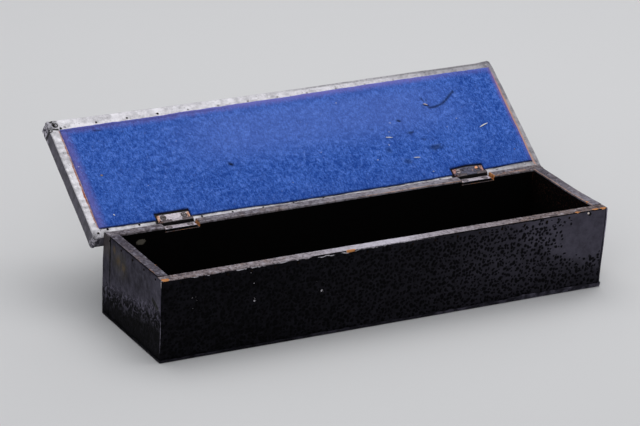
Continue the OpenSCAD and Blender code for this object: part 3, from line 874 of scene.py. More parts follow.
lipLacquer = lacquer("lipLacquer", lipFilm)
makeBaseSheet()
print("case sheets made")

# boards of the case

board = {"cell": 1.3 * mm, "arris": 0.6 * mm, "wander": 0.14 * mm}
# worn through to the wood: along, across from the outer face, half length, half width in mm, strength
bareSpots = {
    "front": [(-175, 1.5, 4, 2.2, 1.1), (174.5, 1.0, 3.2, 1.3, 1.2), (168, 1.1, 3.4, 1.2, 1.1),
              (153, 0.8, 3.2, 1.0, 1.0), (160, 2.5, 2, 1, 0.7), (-31.5, 0.2, 4.6, 1.0, 0.95)],
    "rear": [(152, 6, 16, 1.8, 0.62)],
    "left": [(-28, 0.6, 8, 0.9, 0.6), (-25, 7.2, 9, 0.8, 0.5), (-10, 0.5, 6, 0.7, 0.5)],
    "right": [(-32.2, 7.0, 1.6, 1.2, 1.1), (-24, 0.6, 5, 0.8, 0.5), (10, 0.6, 4, 0.8, 0.45)],
}
rimPolishAndSheen = {  # how pale the rim is, rubbed and with a painted sheen of the overhead light: place along it in mm, share
    "front": [(-178, 0.15), (-130, 0.2), (-90, 0.32), (-70, 0.45), (-50, 0.65), (-30, 0.88), (10, 1),
              (30, 0.62), (50, 0.5), (90, 0.3), (110, 0.12), (178, 0)],
    "rear": [(-178, 0.12), (-100, 0.25), (-60, 0.25), (0, 0.42), (60, 0.5), (100, 0.35), (140, 0.12),
             (178, 0.1)],
    "left": [(-47, 0.1), (0, 0.12), (47, 0.05)],
    "right": [(-47, 0.4), (-20, 0.4), (20, 0.2), (47, 0.1)],
}
arrisWear = {  # thin bare line along the outer and the inner arris: place, share
    "front": ([(-178, 0.1), (60, 0.1), (90, 0.35), (178, 0.4)], [(-178, 0.2), (0, 0.45), (178, 0.2)]),
    "rear": ([(-178, 0), (178, 0)], [(-178, 0.2), (-10, 0.3), (20, 0.8), (130, 0.9), (178, 0.5)]),
    "left": ([(-47, 0.6), (0, 0.5), (47, 0.2)], [(-47, 0.35), (47, 0.1)]),
    "right": ([(-47, 0.2), (47, 0.3)], [(-47, 1.15), (47, 1.05)]),
}
gapShadeLine = {  # painted shade in the gap under the rim's outer arris: place, share
    "front": [(-178, 0.2), (-64, 0.3), (-60, 1), (-36, 1), (-26, 0.5), (20, 0.4), (60, 1), (178, 1)],
    "rear": [(-178, 1), (178, 1)],
    "left": [(-47, 1.1), (47, 1.1)],
    "right": [(-47, 0.7), (47, 0.7)],
}


def boardProfile(wide, low, top, arris):  # across, height, outer and inner arris share, inside share
    def arc(centre, start, end, outer):
        made = []
        for k, share in enumerate((0.1, 0.6, 1, 0.6, 0.1)):
            turn = math.radians(start + (end - start) * k / 4)
            place = (centre + math.cos(turn) * arris, top - arris + math.sin(turn) * arris)
            made.append((*place, share if outer else 0, 0 if outer else share, 0))
        return made

    across = [(arris + (wide - 2 * arris) * k / 7, top, 0, 0, 0) for k in range(1, 7)]
    outer = [(0, low, 0, 0, 1), (0, (low + top) / 2, 0, 0, 1), (0, top - 3.2 * mm, 0, 0, 0),
             (0, top - 1.6 * mm, 0, 0, 0)]
    floor = top - notchEnds["depth"]
    heights = [top - 1.5 * mm, top - 2.6 * mm, floor - 0.35 * mm, floor - 0.9 * mm, top - 8 * mm,
               (low + top) / 2, low + 4 * mm, low]
    inner = [(wide, z, 0, 0, 0.6 if i == 0 else 1) for i, z in enumerate(heights)]
    return outer + arc(arris, 180, 90, True) + across + arc(wide - arris, 90, 0, False) + inner


# bare wood in a hinge notch: a line above its floor, its two walls, the arrises over them
notchWear = {"line": 0.62, "rightWall": 0.9, "leftWall": 0.5, "rightArris": 1.0, "leftHingeArris": 0.42,
             "leftArris": 0.3}


def makeBoard(name, nodeName, side, finish, seed, notches=()):
    low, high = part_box(nodeName)
    alongX = side in ("front", "rear")
    ends = (low.x, high.x) if alongX else (low.y, high.y)
    wide = (high.y - low.y) if alongX else (high.x - low.x)
    outerFace = {"front": low.y, "rear": high.y, "left": low.x, "right": high.x}[side]
    inward = 1 if side in ("front", "left") else -1
    hair = 0.02 * mm
    stops = [s + d for notch in notches for s in notch for d in (-hair, hair)]
    stations = steps(ends[0], ends[1], board["cell"], stops)
    points = []
    marks = {"arris": [], "bare": [], "inside": [], "polishAndSheen": [], "gapShade": []}
    for along in stations:
        arris = board["arris"] * (1 + 0.45 * wave(along, 0.013, seed) + 0.3 * wave(along, 0.004, seed + 1))
        lift = board["wander"] * (wave(along, 0.05, seed + 2) + 0.5 * wave(along, 0.008, seed + 3))
        lift -= frontDrop if side == "front" else 0
        notched = any(a < along < b for a, b in notches)
        wall = any(abs(along - s) < 2 * hair for notch in notches for s in notch)
        isRight = any(abs(along - notch[1]) < 2 * hair for notch in notches)
        floor = high.z - notchEnds["depth"]
        polishAndSheen = tableAt(rimPolishAndSheen[side], along / mm)
        outerWear, innerWear = (tableAt(table, along / mm) for table in arrisWear[side])
        gapShade = tableAt(gapShadeLine[side], along / mm)
        for across, z, outer, inner, inside in boardProfile(wide, low.z, high.z + lift, arris):
            bare = 0
            for middle, place, half, breadth, strength in bareSpots[side]:
                reach = math.hypot((along / mm - middle) / half, (across / mm - place) / breadth)
                bare = max(bare, strength * (1 - smooth(reach, 0.5, 1.2)))
            # painted shade in the gap under the outer arris
            dark = gapShade if across < 0.3 * arris and z < high.z + lift - 0.25 * arris and bare < 0.6 else 0
            # darker along the outer edge of the right end's front half
            if side == "right" and along < 5 * mm:
                patchy = 0.55 + 0.6 * wave(along, 0.006, 19)
                dark = max(dark, (1 - smooth(across, 0.2 * mm, 1.9 * mm)) * patchy)
            if notched:
                z = min(z, floor)
                line = floor - 0.5 * mm < z < floor - 0.1 * mm
                wallWear = notchWear["rightWall"] if isRight else notchWear["leftWall"]
                bare = notchWear["line"] if line else wallWear if wall else 0
                # painted shade in the notch under the hinge leaf
                dark = 0 if line or isRight else 1
                inside = 1 if z < floor - 0.5 * mm else 0
            elif wall and z > floor - 0.1 * mm:
                rightArris = notchWear["rightArris"] if along > 0 else notchWear["leftHingeArris"]
                bare = rightArris if isRight else notchWear["leftArris"]
                dark = 0
            place = outerFace + inward * across
            points.append((along, place, z) if alongX else (place, along, z))
            marks["arris"].append(outer * outerWear + inner * innerWear)
            marks["bare"].append(bare)
            marks["inside"].append(inside)
            marks["polishAndSheen"].append(polishAndSheen)
            marks["gapShade"].append(dark)
    made = makeMesh(name, points, closedRings(len(stations), len(points) // len(stations)), marks)
    made.data.set_sharp_from_angle(angle=math.radians(50))
    return dress(made, "case", "carcass_wood", finish, nodeName)


lean(makeBoard("frontBoard", "front_board", "front", frontWood, 20))
makeBoard("rearBoard", "rear_board", "rear", rearWood, 30, hingeNotches())
makeBoard("leftEndBoard", "left_end_board", "left", endWood, 40)
lean(makeBoard("rightEndBoard", "right_end_board", "right", endWood, 50))


def floorWood(book):
    place = book.coords()
    streak = book.noise(book.vector("MULTIPLY", place, (0.05, 1, 1)), 0.0016, detail=5, rough=0.6)
    dust = book.noise(place, 0.025, detail=6, rough=0.7)
    color = book.mix(streak, (0.0025, 0.0022, 0.002), (0.009, 0.0075, 0.0065))
    color = book.mix(dust.rise(0.52, 0.75) * 0.35, color, (0.04, 0.034, 0.028))
    return book.surface(color=color, roughness=0.85, specular=0.2, normal=book.bump(streak + dust, 0.00025))


paint("bottom_board", material("floorWood", floorWood))
paint("wall_nails", nailSteel)
paint("bottom_nails", nailSteel)
print("boards made")

# lid cover: one sheet with its edges folded down, round and in

lidLow, lidHigh = shutBox("lid_cover")
feltLow, feltHigh = shutBox("lid_felt")
lidMiddle = (lidLow + lidHigh) / 2
halfLid = (lidHigh - lidLow) / 2
cover = {"corner": 2.6 * mm, "fold": 1.4 * mm, "skin": 0.4 * mm, "turnedIn": 12 * mm,
         "panelCell": 0.92 * mm, "wave": 0.3 * mm, "crinkle": 0.2 * mm, "ripple": 0.28 * mm,
         "ripplePitch": 5.2 * mm, "pleat": 0.28 * mm, "foldUnder": 0.9 * mm, "bulge": 1.5 * mm,
         "freeTaper": 1.3 * mm, "rightSpread": 0.8 * mm, "leftSpread": 0.4 * mm, "crushOver": 4.6 * mm,
         "crushUnder": 4.4 * mm}
# how crumpled each corner of the lid is
cornerFold = {(-1, -1): 1.0, (-1, 1): 0.5, (1, -1): 0.4, (1, 1): 0.4}
# how far the cover's free edge is drawn in: x, shift in mm
freeSpread = [(-178, -0.4), (-174, -0.7), (-170, -0.6), (-160, -0.1), (-120, 0.25), (-100, 0.6),
              (-80, 0), (-60, -0.25), (60, -0.25), (100, -0.4), (120, -0.6), (140, -0.2), (170, -0.3),
              (179, -1.0)]
# how far its right edge leans out: y, shift in mm
rightLean = [(-55, -1.0), (-50, -0.6), (-46, -0.2), (-42, 0), (-35, 0), (-28, 0.3), (-10, 0.15),
             (0, 0.1), (50, 0.1)]
felt = {"cell": 0.85 * mm, "thick": 1.1 * mm, "round": 0.9 * mm, "belly": 2.4 * mm, "gap": 1.0 * mm,
        "fuzz": 0.12 * mm}
# the felt's free and hinge-side edges: x, shift in mm
feltFree = [(-178, 1.1), (-120, 0.6), (-40, 0.3), (0, 0.2), (40, -0.3), (80, -0.7), (178, -0.8)]
feltRear = [(-178, 0.0), (-150, -0.1), (-60, -0.5), (-30, 0.5), (90, 0.4), (150, -0.4), (178, -0.6)]
# where the felt is cut above each hinge: x, y in mm
feltCut = {"left": [(-134, 37.9), (-108, 37.8)], "right": [(108, 38.8), (121, 37.6), (134, 38.2)]}
# the felt's left and right edges: y, shift in mm
feltSides = [(-48, 0.2), (-20, 0.2), (0, -0.1), (20, -0.4), (46, -0.9)]
feltRight = [(-48, 1.2), (-20, 0.4), (20, 0.1), (46, -0.9)]


def feltEdges(x):  # free and hinge-side edges of the felt at x
    share = (x - feltLow.x) / (feltHigh.x - feltLow.x)
    free = feltLow.y + tableAt(feltFree, x / mm) * mm
    free += 0.3 * mm * wave(x, 0.014, 71)
    free += 0.18 * mm * wave(x, 0.004, 75)
    free += 0.4 * mm * (smooth(x / mm, -137, -132) - smooth(x / mm, -96, -90))
    belly = felt["belly"] * (math.sin(math.pi * share) - 1)
    rear = feltHigh.y + belly + tableAt(feltRear, x / mm) * mm
    return free, min(rear + 0.15 * mm * wave(x, 0.02, 72), pin.y - 2.6 * mm)


def cornerShare(p):
    signs = (-1 if p.x < lidMiddle.x else 1, -1 if p.y < lidMiddle.y else 1)
    corner = Vector((lidMiddle.x + signs[0] * halfLid.x, lidMiddle.y + signs[1] * halfLid.y))
    away = math.hypot(p.x - corner.x, p.y - corner.y)
    return cornerFold[signs] * (1 - smooth(away, 2.5 * mm, 12 * mm))


def crushed(p, inset):  # draws the free left corner of the cover in to a larger round
    high = smooth(p.z, lidLow.z + 0.5 * mm, lidHigh.z - 1.5 * mm)
    radius = cover["crushUnder"] + (cover["crushOver"] - cover["crushUnder"]) * high
    away = Vector((p.x - lidLow.x - radius, p.y - lidLow.y - radius, 0))
    if away.x > 0 or away.y > 0 or inset > radius or away.length < radius - inset:
        return Vector()
    return away * ((radius - inset) / away.length - 1)


# how far the folded edge strays from the flat, in shut coordinates
def coverPush(p, out, inset, edge, under):
    # 1 in the middle of a corner's arc, 0 along the straight edges
    arc = min(abs(out.x), abs(out.y)) * 1.41
    folded = cornerShare(p)
    run = p.x * out.y + p.y * out.x
    low = (lidHigh.z - p.z) / (lidHigh.z - lidLow.z)
    near = 1 - smooth(inset, 2 * mm, 8 * mm)
    slow = wave(run + 3 * abs(out.x), 0.045, 61) + 0.5 * wave(run + 3 * abs(out.x), 0.012, 62)
    away = cover["wave"] * slow * edge
    if out.y < -0.5:
        away -= cover["freeTaper"] * smooth(p.x, -0.115, -0.03) * low * near
        away -= tableAt(freeSpread, p.x / mm) * mm * near
    if out.x > 0.5:
        away += (cover["rightSpread"] + tableAt(rightLean, p.y / mm) * mm) * near
    if out.x < -0.5:
        away += cover["leftSpread"] * near
    angle = math.atan2(out.y, out.x)
    pleats = abs(math.sin(5.5 * angle + 0.4)) + 0.4 * math.sin(15 * angle)
    away += (cover["bulge"] * arc + cover["pleat"] * (1.3 * pleats - 0.5)) * folded * edge
    dent = noise.noise(p / 0.0031) + 0.6 * noise.noise(p / 0.0016 + Vector((3, 1, 7)))
    away += 0.45 * mm * dent * folded * (0.4 + 0.6 * edge)
    crinkle = noise.noise(p / 0.0036) * 0.6 + noise.noise(p / 0.0085) * 0.9
    down = -cover["crinkle"] * crinkle
    isLeft = smooth(-p.x, -lidLow.x - 14 * mm, -lidLow.x - 9 * mm)
    ripple = math.sin(2 * math.pi * (p.y + 1.6 * mm * wave(p.y, 0.012, 63)) / cover["ripplePitch"])
    onSide = smooth(abs(out.x), 0.5, 0.9)
    down -= cover["ripple"] * isLeft * ripple * onSide * (0.5 + noise.noise(p / 0.009))
    down -= folded * (0.65 * mm * noise.noise(p / 0.0026) + 0.3 * mm * arc * pleats)
    return Vector((out.x, out.y, 0)) * away + Vector((0, 0, down * under)) + crushed(p, inset)


def slitShadowAt(p):  # painted shadow: a dark line beside the felt's hinge edge and round the leaves
    rear = feltEdges(p.x)[1]
    off = abs(p.y - rear - 0.25 * mm)
    dark = (1 - smooth(off, 0.15 * mm, 0.6 * mm)) * (0.62 + 0.45 * wave(p.x, 0.008, 76))
    return dark if feltLow.x - 1 * mm < p.x < feltHigh.x else 0


def makeLidCover():
    r, f, skin = cover["corner"], cover["fold"], cover["skin"]
    sides = (round(2 * (halfLid.x - r) / cover["panelCell"]),
             round(2 * (halfLid.y - r) / cover["panelCell"]))
    quarter = [math.radians(90 * k / 4) for k in range(5)]
    # inset, z, edge, under, turned, keep
    plan = [(r, lidHigh.z, 0, 0, 0.0, 0.6), (2.0 * mm, lidHigh.z, 0, 0, 0.0, 0.8)]
    plan += [(f - f * math.sin(t), lidHigh.z - f + f * math.cos(t), math.sin(t), 0, 0.25, 0.6)
             for t in quarter]
    g = cover["foldUnder"]
    plan += [(0, lidHigh.z - f - (lidHigh.z - lidLow.z - f - g) * k / 8, 1, 0, 0.3, 0.5)
             for k in range(1, 8)]
    plan += [(g - g * math.cos(t), lidLow.z + g - g * math.sin(t), math.cos(t), math.sin(t),
              0.3 + 0.7 * math.sin(t), 0.3) for t in quarter]
    inner = cover["turnedIn"]
    plan += [(g + (inner - g) * k / 18, lidLow.z, 0, 1, 1, 0) for k in range(1, 19)]
    plan += [(inner, lidLow.z + skin, 0, 0, 1, 0), (skin, lidLow.z + skin, 0, 0, 1, 0),
             (skin, lidHigh.z - skin, 0, 0, 0, 0)]
    names = ("shut", "flat", "out", "keep", "punched", "turned", "folded", "slitShadow")
    points, marks = [], {name: [] for name in names}

    def add(p, push, outward, *values):  # keep, punched, turned, folded, painted slit shadow
        points.append(swing @ (p + push))
        marks["shut"].append(tuple(p))
        marks["flat"].append(tuple(p))
        marks["out"].append(tuple(swing.to_3x3() @ outward))
        for name, value in zip(names[3:], values):
            marks[name].append(value)

    for inset, z, edge, under, turned, keep in plan:
        for p, out in ringPoints(halfLid.x, halfLid.y, r, inset, (lidMiddle.x, lidMiddle.y), z, sides, 26):
            push = coverPush(p, out, inset, edge, under)
            outward = (out * edge + Vector((0, 0, 1 if z > lidMiddle.z else -1)) * (1 - edge)).normalized()
            dark = slitShadowAt(p) if under and z < lidLow.z + 0.1 * mm else 0
            add(p, push, outward, keep, 0, turned, cornerShare(p), dark)
    count = len(points) // len(plan)
    faces = gridFaces(len(plan), count, loop=True)
    faces.append([(len(plan) - 1) * count + i for i in range(count)])
    start = len(points)
    for j in range(sides[1] + 1):
        for i in range(sides[0] + 1):
            x = lidLow.x + r + 2 * (halfLid.x - r) * i / sides[0]
            y = lidLow.y + r + 2 * (halfLid.y - r) * j / sides[1]
            rim = min(x - lidLow.x, lidHigh.x - x, y - lidLow.y, lidHigh.y - y)
            place = Vector((x, y, lidHigh.z))
            add(place, crushed(place, rim), Vector((0, 0, 1)), 0.6 + 0.4 * smooth(rim, r, 5 * mm),
                0.95 * smooth(rim, 3 * mm, 7 * mm), 0, 0, 0)
    faces += gridFaces(sides[1] + 1, sides[0] + 1, start)
    made = makeMesh("lidCover", points, faces, marks)
    punch(made, lidPits, coverFinish)
    return dress(made, "lid", "lid_sheet", None, "lid_cover")


cornerDarkMarks = [  # dark dots and rings pressed into the free left corner: shut x, y, hole, reach in mm
    (-181.7, -52.2, 0, 1.5), (-181.0, -49.6, 0, 1.4), (-179.0, -48.4, 1.1, 2.0), (-184.0, -44.6, 0.7, 1.8),
    (-176.3, -45.6, 0, 1.2), (-186.2, -42.7, 0, 1.2)]


def nearBox(x, y, low, high):  # distance from a flat box, in a shader
    dx = (low[0] - x).most(x - high[0]).most(0)
    dy = (low[1] - y).most(y - high[1]).most(0)
    return (dx * dx + dy * dy).math("SQRT")


def leafBoxes():
    boxes = []
    for side in ("left", "right"):
        low, high = shutBox(side + "_lid_leaf")
        boxes.append(((low.x, low.y), (high.x, pin.y + 3 * mm)))
    return boxes


def coverMetal(book):  # black lacquer outside, worn grey on the edge, bright where it is turned in
    shut = book.markVector("shut")
    x, y, z = book.axes(shut)
    turned = book.mark("turned")
    broad = book.noise(shut, 0.03, detail=4, rough=0.6)
    fine = book.noise(shut, 0.0016, detail=4, rough=0.65)
    blotch = book.noise(shut, 0.0055, detail=4, rough=0.6)
    pit = pitField(book, book.markVector("flat"), book.mark("punched"), lidPits["pitch"], lidPits["radius"])
    top = book.mix(blotch.rise(0.35, 0.7), (0.003, 0.0028, 0.0038), (0.012, 0.0115, 0.015))
    top = book.mix(broad.rise(0.5, 0.72) * (0.4 + blotch), top, (0.05, 0.048, 0.06))
    # painted shade in the punched pits
    top = book.mix(pit.rise(0.1, 0.45), top, (0.0009, 0.0009, 0.0012))
    streak = book.noise(book.vector("MULTIPLY", shut, (1, 1, 0.15)), 0.0018, detail=4, rough=0.65)
    band = book.mix((blotch * 0.5 + streak * 0.5).rise(0.35, 0.65), (0.055, 0.05, 0.064),
                    (0.13, 0.12, 0.155))
    glint = (((y + 0.0435) / 0.0034) ** 2 + ((z - 0.0735) / 0.0022) ** 2) ** 0.5 + (fine - 0.5) * 0.8
    band = book.mix((1 - glint.rise(0.5, 1.1)) * (1 - x.rise(-0.17, -0.16)), band, (0.36, 0.34, 0.4))
    band = book.mix(fine.rise(0.6, 0.75) * 0.5, band, (0.25, 0.24, 0.28))
    bright = book.mix(blotch.rise(0.3, 0.65), (0.46, 0.45, 0.48), (0.74, 0.725, 0.77))
    dull = book.mix(blotch.rise(0.3, 0.7), (0.2, 0.19, 0.215), (0.46, 0.445, 0.475))
    # the turned-in strip painted bright to the left and duller to the right: partly wear, partly a painted
    # reflection of the light above
    toneShare = (x + (broad - 0.5) * 0.1 - y * 0.5).rise(0.08, 0.2)
    hinged = y.rise(0.036, 0.043) * (0.1 + 0.18 * broad)
    strip = book.mix((toneShare * 0.9 + hinged).least(1), bright, dull)
    strip = book.mix((1 - fine.rise(0.3, 0.42)) * 0.6, strip, (0.1, 0.095, 0.1))
    scab = (1 - blotch.rise(0.24, 0.34)) * (0.35 + 0.65 * toneShare)
    dashes = (1 - abs(y + 0.0513).rise(0.0003, 0.0014)) * x.rise(-0.02, 0.03)
    dashes = dashes * (blotch * 0.5 + fine * 0.5).rise(0.4, 0.56)
    strip = book.mix(dashes * 0.75, strip, (0.16, 0.155, 0.165))
    strip = book.mix(scab, strip, (0.055, 0.05, 0.055))
    along = y.rise(-0.035, 0.04)
    strip = book.mix(x.rise(0.172, 0.176) * (1 - y.rise(-0.03, 0.0)) * 0.3, strip, (0.16, 0.15, 0.175))
    glueEnd = x - 0.1781 + along * 0.0004 - (blotch - 0.5) * 0.003
    glue = (x - 0.1767).rise(-0.0002, 0.0006) * (1 - glueEnd.rise(0, 0.0013))
    pinkish = book.mix(y.rise(-0.045, -0.015), (0.5, 0.2, 0.38), (0.58, 0.32, 0.25))
    strip = book.mix((glue * y.rise(-0.05, -0.03) * (0.45 + 0.9 * fine)).least(1), strip, pinkish)
    edgeLine = x + 0.1782 + (y + 0.048) * 0.0117 + (blotch - 0.5) * 0.0016 + (fine - 0.5) * 0.0012
    inFelt = y.rise(-0.0445, -0.043) * (1 - y.rise(0.041, 0.043))
    paste = (1 - abs(edgeLine).rise(0.0002, 0.001)) * inFelt * (blotch * 2 - 0.25)
    strip = book.mix(paste.most(0).least(1), strip, (0.3, 0.085, 0.045))
    # the folded corners painted in light and dark patches: painted light and shade of the crumples
    folded = book.mark("folded")
    fold = book.noise(shut, 0.0042, detail=2, rough=0.5, bend=1.6)
    # painted shade in the creases of the folded corners
    crease = (1 - abs(fold - 0.5).rise(0.02, 0.06)) * folded.rise(0.2, 0.6)
    strip = book.mix(folded.rise(0.25, 0.7) * 0.6, strip,
                     book.mix(fold.rise(0.35, 0.6), (0.06, 0.055, 0.068), (0.34, 0.33, 0.38)))
    creaseShadeAndMarks = crease * 0.7
    for spotX, spotY, hole, reach in cornerDarkMarks:
        off = ((x - spotX * mm) ** 2 + (y - spotY * mm) ** 2) ** 0.5 + (fine - 0.5) * 0.0008
        inside = off.rise(hole * 0.5 * mm, hole * mm + 0.0001)
        creaseShadeAndMarks = creaseShadeAndMarks.most((1 - off.rise(reach * 0.65 * mm, reach * mm)) * inside)
    # painted shade along the mitre fold of the free left corner
    mitre = abs(y + 0.0452 - (x + 0.1803) * 0.2).rise(0.0004, 0.001)
    mitre = mitre.most(abs(x + 0.1803).rise(0.0019, 0.0025))
    creaseShadeAndMarks = creaseShadeAndMarks.most(1 - mitre)
    strip = book.mix(creaseShadeAndMarks, strip, (0.004, 0.0035, 0.004))
    # painted shadow beside the felt's hinge edge and round the leaves
    slitShadow = (book.mark("slitShadow") + (fine - 0.5) * 0.5).rise(0.3, 0.7)
    for low, high in leafBoxes():
        slitShadow = slitShadow.most(1 - nearBox(x, y, low, high).rise(0.0017, 0.0025))
    strip = book.mix(slitShadow, strip, (0.004, 0.002, 0.003))
    # painted shade and glints on the crumpled corner band
    near = folded.rise(0.3, 0.6)
    crumpled = book.noise(shut, 0.0036, detail=3, rough=0.55, bend=1.2)
    band = book.mix(near * (1 - crumpled.rise(0.36, 0.44)), band, (0.012, 0.01, 0.016))
    band = book.mix(near * crumpled.rise(0.5, 0.56), band, (0.58, 0.55, 0.62))
    edge = turned.rise(0.1, 0.28)
    inward = turned.rise(0.34, 0.6)
    color = book.mix(inward, book.mix(edge, top, band), strip)
    color = book.mix(creaseShadeAndMarks * edge * (1 - inward), color, (0.008, 0.0075, 0.01))
    metal = book.value(inward, edge * 0.35, 0.5 * (1 - toneShare * 0.5)) * (1 - slitShadow)
    rough = book.value(inward, 0.42 + 0.2 * fine, 0.34 + 0.3 * fine + 0.15 * toneShare)
    ridges = book.noise(shut, 0.0032, detail=5, rough=0.6, bend=0.6)
    height = book.value(inward, fine * 0.3 + streak * 0.5 * edge, ridges) + fold * folded * 2
    return book.surface(color=color, roughness=rough, metallic=metal, specular=0.2,
                        normal=book.bump(height, 0.0004))


def makeLidBoard():  # the board inside, kept clear of the pressed-in free edge
    mesh = frame["nodes"]["lid_board"].data.copy()
    back = swing.inverted()
    for v in mesh.vertices:
        flat = back @ v.co
        if flat.y < lidLow.y + 4 * mm:
            flat.y += cover["freeTaper"] + 0.6 * mm
            if flat.x < lidLow.x + 5 * mm:
                flat += crushed(flat, 0.6 * mm) + Vector((0.5 * mm, 0.5 * mm, 0))
            v.co = swing @ flat
    made = bpy.data.objects.new("lidBoard", mesh)
    scene.collection.objects.link(made)
    return dress(made, "lid", "lid_wood", plainWood("lidWood"), "lid_board")


coverFinish = material("coverMetal", coverMetal)
makeLidCover()
makeLidBoard()
print("lid cover made")

# felt

# dark places on the felt: shut x, y, half sizes in mm, turn in degrees, strength
stains = [(84.6, -9.1, 1.8, 1.0, 20, 0.9), (89.9, 2.5, 3.4, 1.3, -8, 0.75),
          (105, 18.5, 5.5, 2.4, 0, 0.6), (-61, 6.4, 2.6, 1.5, 30, 0.95), (112, -19.5, 3.2, 0.7, 15, 1.0),
          (76.8, 27, 3.0, 2.0, 0, 0.45), (66, 15, 2.5, 2.5, 0, 0.35), (-151, -39, 4.0, 0.8, 8, 0.7),
          (111.2, -25, 0.5, 2.6, -12, 0.8), (114, -23.6, 0.5, 1.8, 20, 0.6),
          (98, 10, 2.0, 1.0, 10, 0.45), (60, -5, 2, 1.2, 0, 0.3)]
scratch = [(114, -17.0), (119, -17.0), (125, -18.6), (130, -21.4), (134.5, -25.0), (139.2, -28.4)]


def stainAt(x, y):
    x, y = x / mm, y / mm
    dark = 0
    for sx, sy, a, b, turn, strength in stains:
        c, s = math.cos(math.radians(turn)), math.sin(math.radians(turn))
        dx, dy = x - sx, y - sy
        reach = math.hypot((dx * c + dy * s) / a, (dy * c - dx * s) / b)
        dark = max(dark, strength * (1 - smooth(reach + 0.5 * wave(x + y * 1.3, 1.6, 73), 0.4, 1.4)))
    for (ax, ay), (bx, by) in zip(scratch, scratch[1:]):
        span = Vector((bx - ax, by - ay))
        t = min(1, max(0, ((x - ax) * span.x + (y - ay) * span.y) / span.length_squared))
        off = math.hypot(x - ax - span.x * t, y - ay - span.y * t)
        dark = max(dark, 0.8 * (1 - smooth(off, 0.2, 1.5 + 0.5 * wave(x, 2, 74))))
    return dark


def cutLine(side, x):  # where the felt is cut short above a hinge
    return tableAt(feltCut[side], x / mm) * mm


def makeFelt():
    cuts = []
    for side in ("left", "right"):
        low, high = shutBox(side + "_lid_leaf")
        cuts.append((side, low.x - felt["gap"], high.x + felt["gap"]))
    depth = 38.8 * mm
    cell = felt["cell"]
    xs = steps(feltLow.x, feltHigh.x, cell, [x for cut in cuts for x in cut[1:]])
    lowRows = round((depth - feltLow.y) / cell)
    rows = lowRows + round((feltHigh.y - depth) / cell)
    under = lidLow.z
    points, faces, ids = [], [], {}
    marks = {"shut": [], "stain": [], "brim": [], "fromFree": [], "fromLeft": [], "fromRight": []}

    def corner(i, j):
        if (i, j) in ids:
            return ids[i, j]
        x = xs[i]
        free, rear = feltEdges(x)
        y = free + (depth - free) * j / lowRows
        if j > lowRows:
            y = depth + (rear - depth) * (j - lowRows) / (rows - lowRows)
        for side, a, b in cuts:
            if a - 1e-6 < x < b + 1e-6:
                y += (cutLine(side, x) - depth) * (1 - smooth(abs(y - depth), 0, 4 * mm))
        left = feltLow.x + tableAt(feltSides, y / mm) * mm
        right = feltHigh.x + tableAt(feltRight, y / mm) * mm
        x += (left - feltLow.x) * (1 - smooth(x, feltLow.x, feltLow.x + 15 * mm))
        x += (right - feltHigh.x) * smooth(x, feltHigh.x - 15 * mm, feltHigh.x)
        x += 0.2 * mm * wave(y, 0.005, 77) if i in (0, len(xs) - 1) else 0
        back = rear - y
        for side, a, b in cuts:
            back = min(back, math.hypot(max(a - x, x - b, 0), max(cutLine(side, x) - y, 0)))
        off = min(x - left, right - x, y - free, back)
        fall = 1 - math.sqrt(max(0, 1 - (1 - min(1, max(0, off) / felt["round"])) ** 2))
        dark = stainAt(x, y)
        fuzz = noise.noise(Vector((x, y, 0)) / 0.0021) + 0.6 * noise.noise(Vector((x, y, 1)) / 0.0008)
        fuzz = felt["fuzz"] * fuzz
        quilt = 0.2 * mm * noise.noise(Vector((x, y, 2)) / 0.016)
        lift = felt["thick"] * (1 - 0.8 * fall) + (fuzz + quilt - 0.25 * mm * dark) * (1 - fall)
        ids[i, j] = len(points)
        points.append(swing @ Vector((x, y, under - lift)))
        marks["shut"].append((x, y, under - lift))
        marks["stain"].append(dark)
        # painted shade along the hinge-side edge and round the cuts
        marks["brim"].append(1 - smooth(back, 0, 1.0 * mm))
        marks["fromFree"].append(y - free)
        marks["fromLeft"].append(x - left)
        marks["fromRight"].append(right - x)
        return ids[i, j]

    for i in range(len(xs) - 1):
        middle = (xs[i] + xs[i + 1]) / 2
        last = lowRows if any(a < middle < b for _, a, b in cuts) else rows
        for j in range(last):
            faces.append((corner(i, j), corner(i + 1, j), corner(i + 1, j + 1), corner(i, j + 1)))
    made = makeSkirt("felt", points, faces, marks)
    return dress(made, "lid", "blue_felt", feltFinish, "lid_felt")


def makeSkirt(name, points, faces, marks):  # closes an open sheet with a flat back against the lid
    made = bpy.data.meshes.new(name)
    made.from_pydata(points, [], faces)
    addMarks(made, marks)
    work = bmesh.new()
    work.from_mesh(made)
    rim = [e for e in work.edges if e.is_boundary]
    grown = bmesh.ops.extrude_edge_only(work, edges=rim)["geom"]
    back = swing.inverted()
    for v in (g for g in grown if isinstance(g, bmesh.types.BMVert)):
        flat = back @ v.co
        flat.z = lidLow.z - 0.03 * mm
        v.co = swing @ flat
    loop = [e for e in grown if isinstance(e, bmesh.types.BMEdge) and e.is_boundary]
    bmesh.ops.contextual_create(work, geom=loop)
    bmesh.ops.triangulate(work, faces=[f for f in work.faces if len(f.verts) > 4])
    bmesh.ops.recalc_face_normals(work, faces=work.faces)
    work.to_mesh(made)
    work.free()
    made.shade_smooth()
    holder = bpy.data.objects.new(name, made)
    scene.collection.objects.link(holder)
    return holder


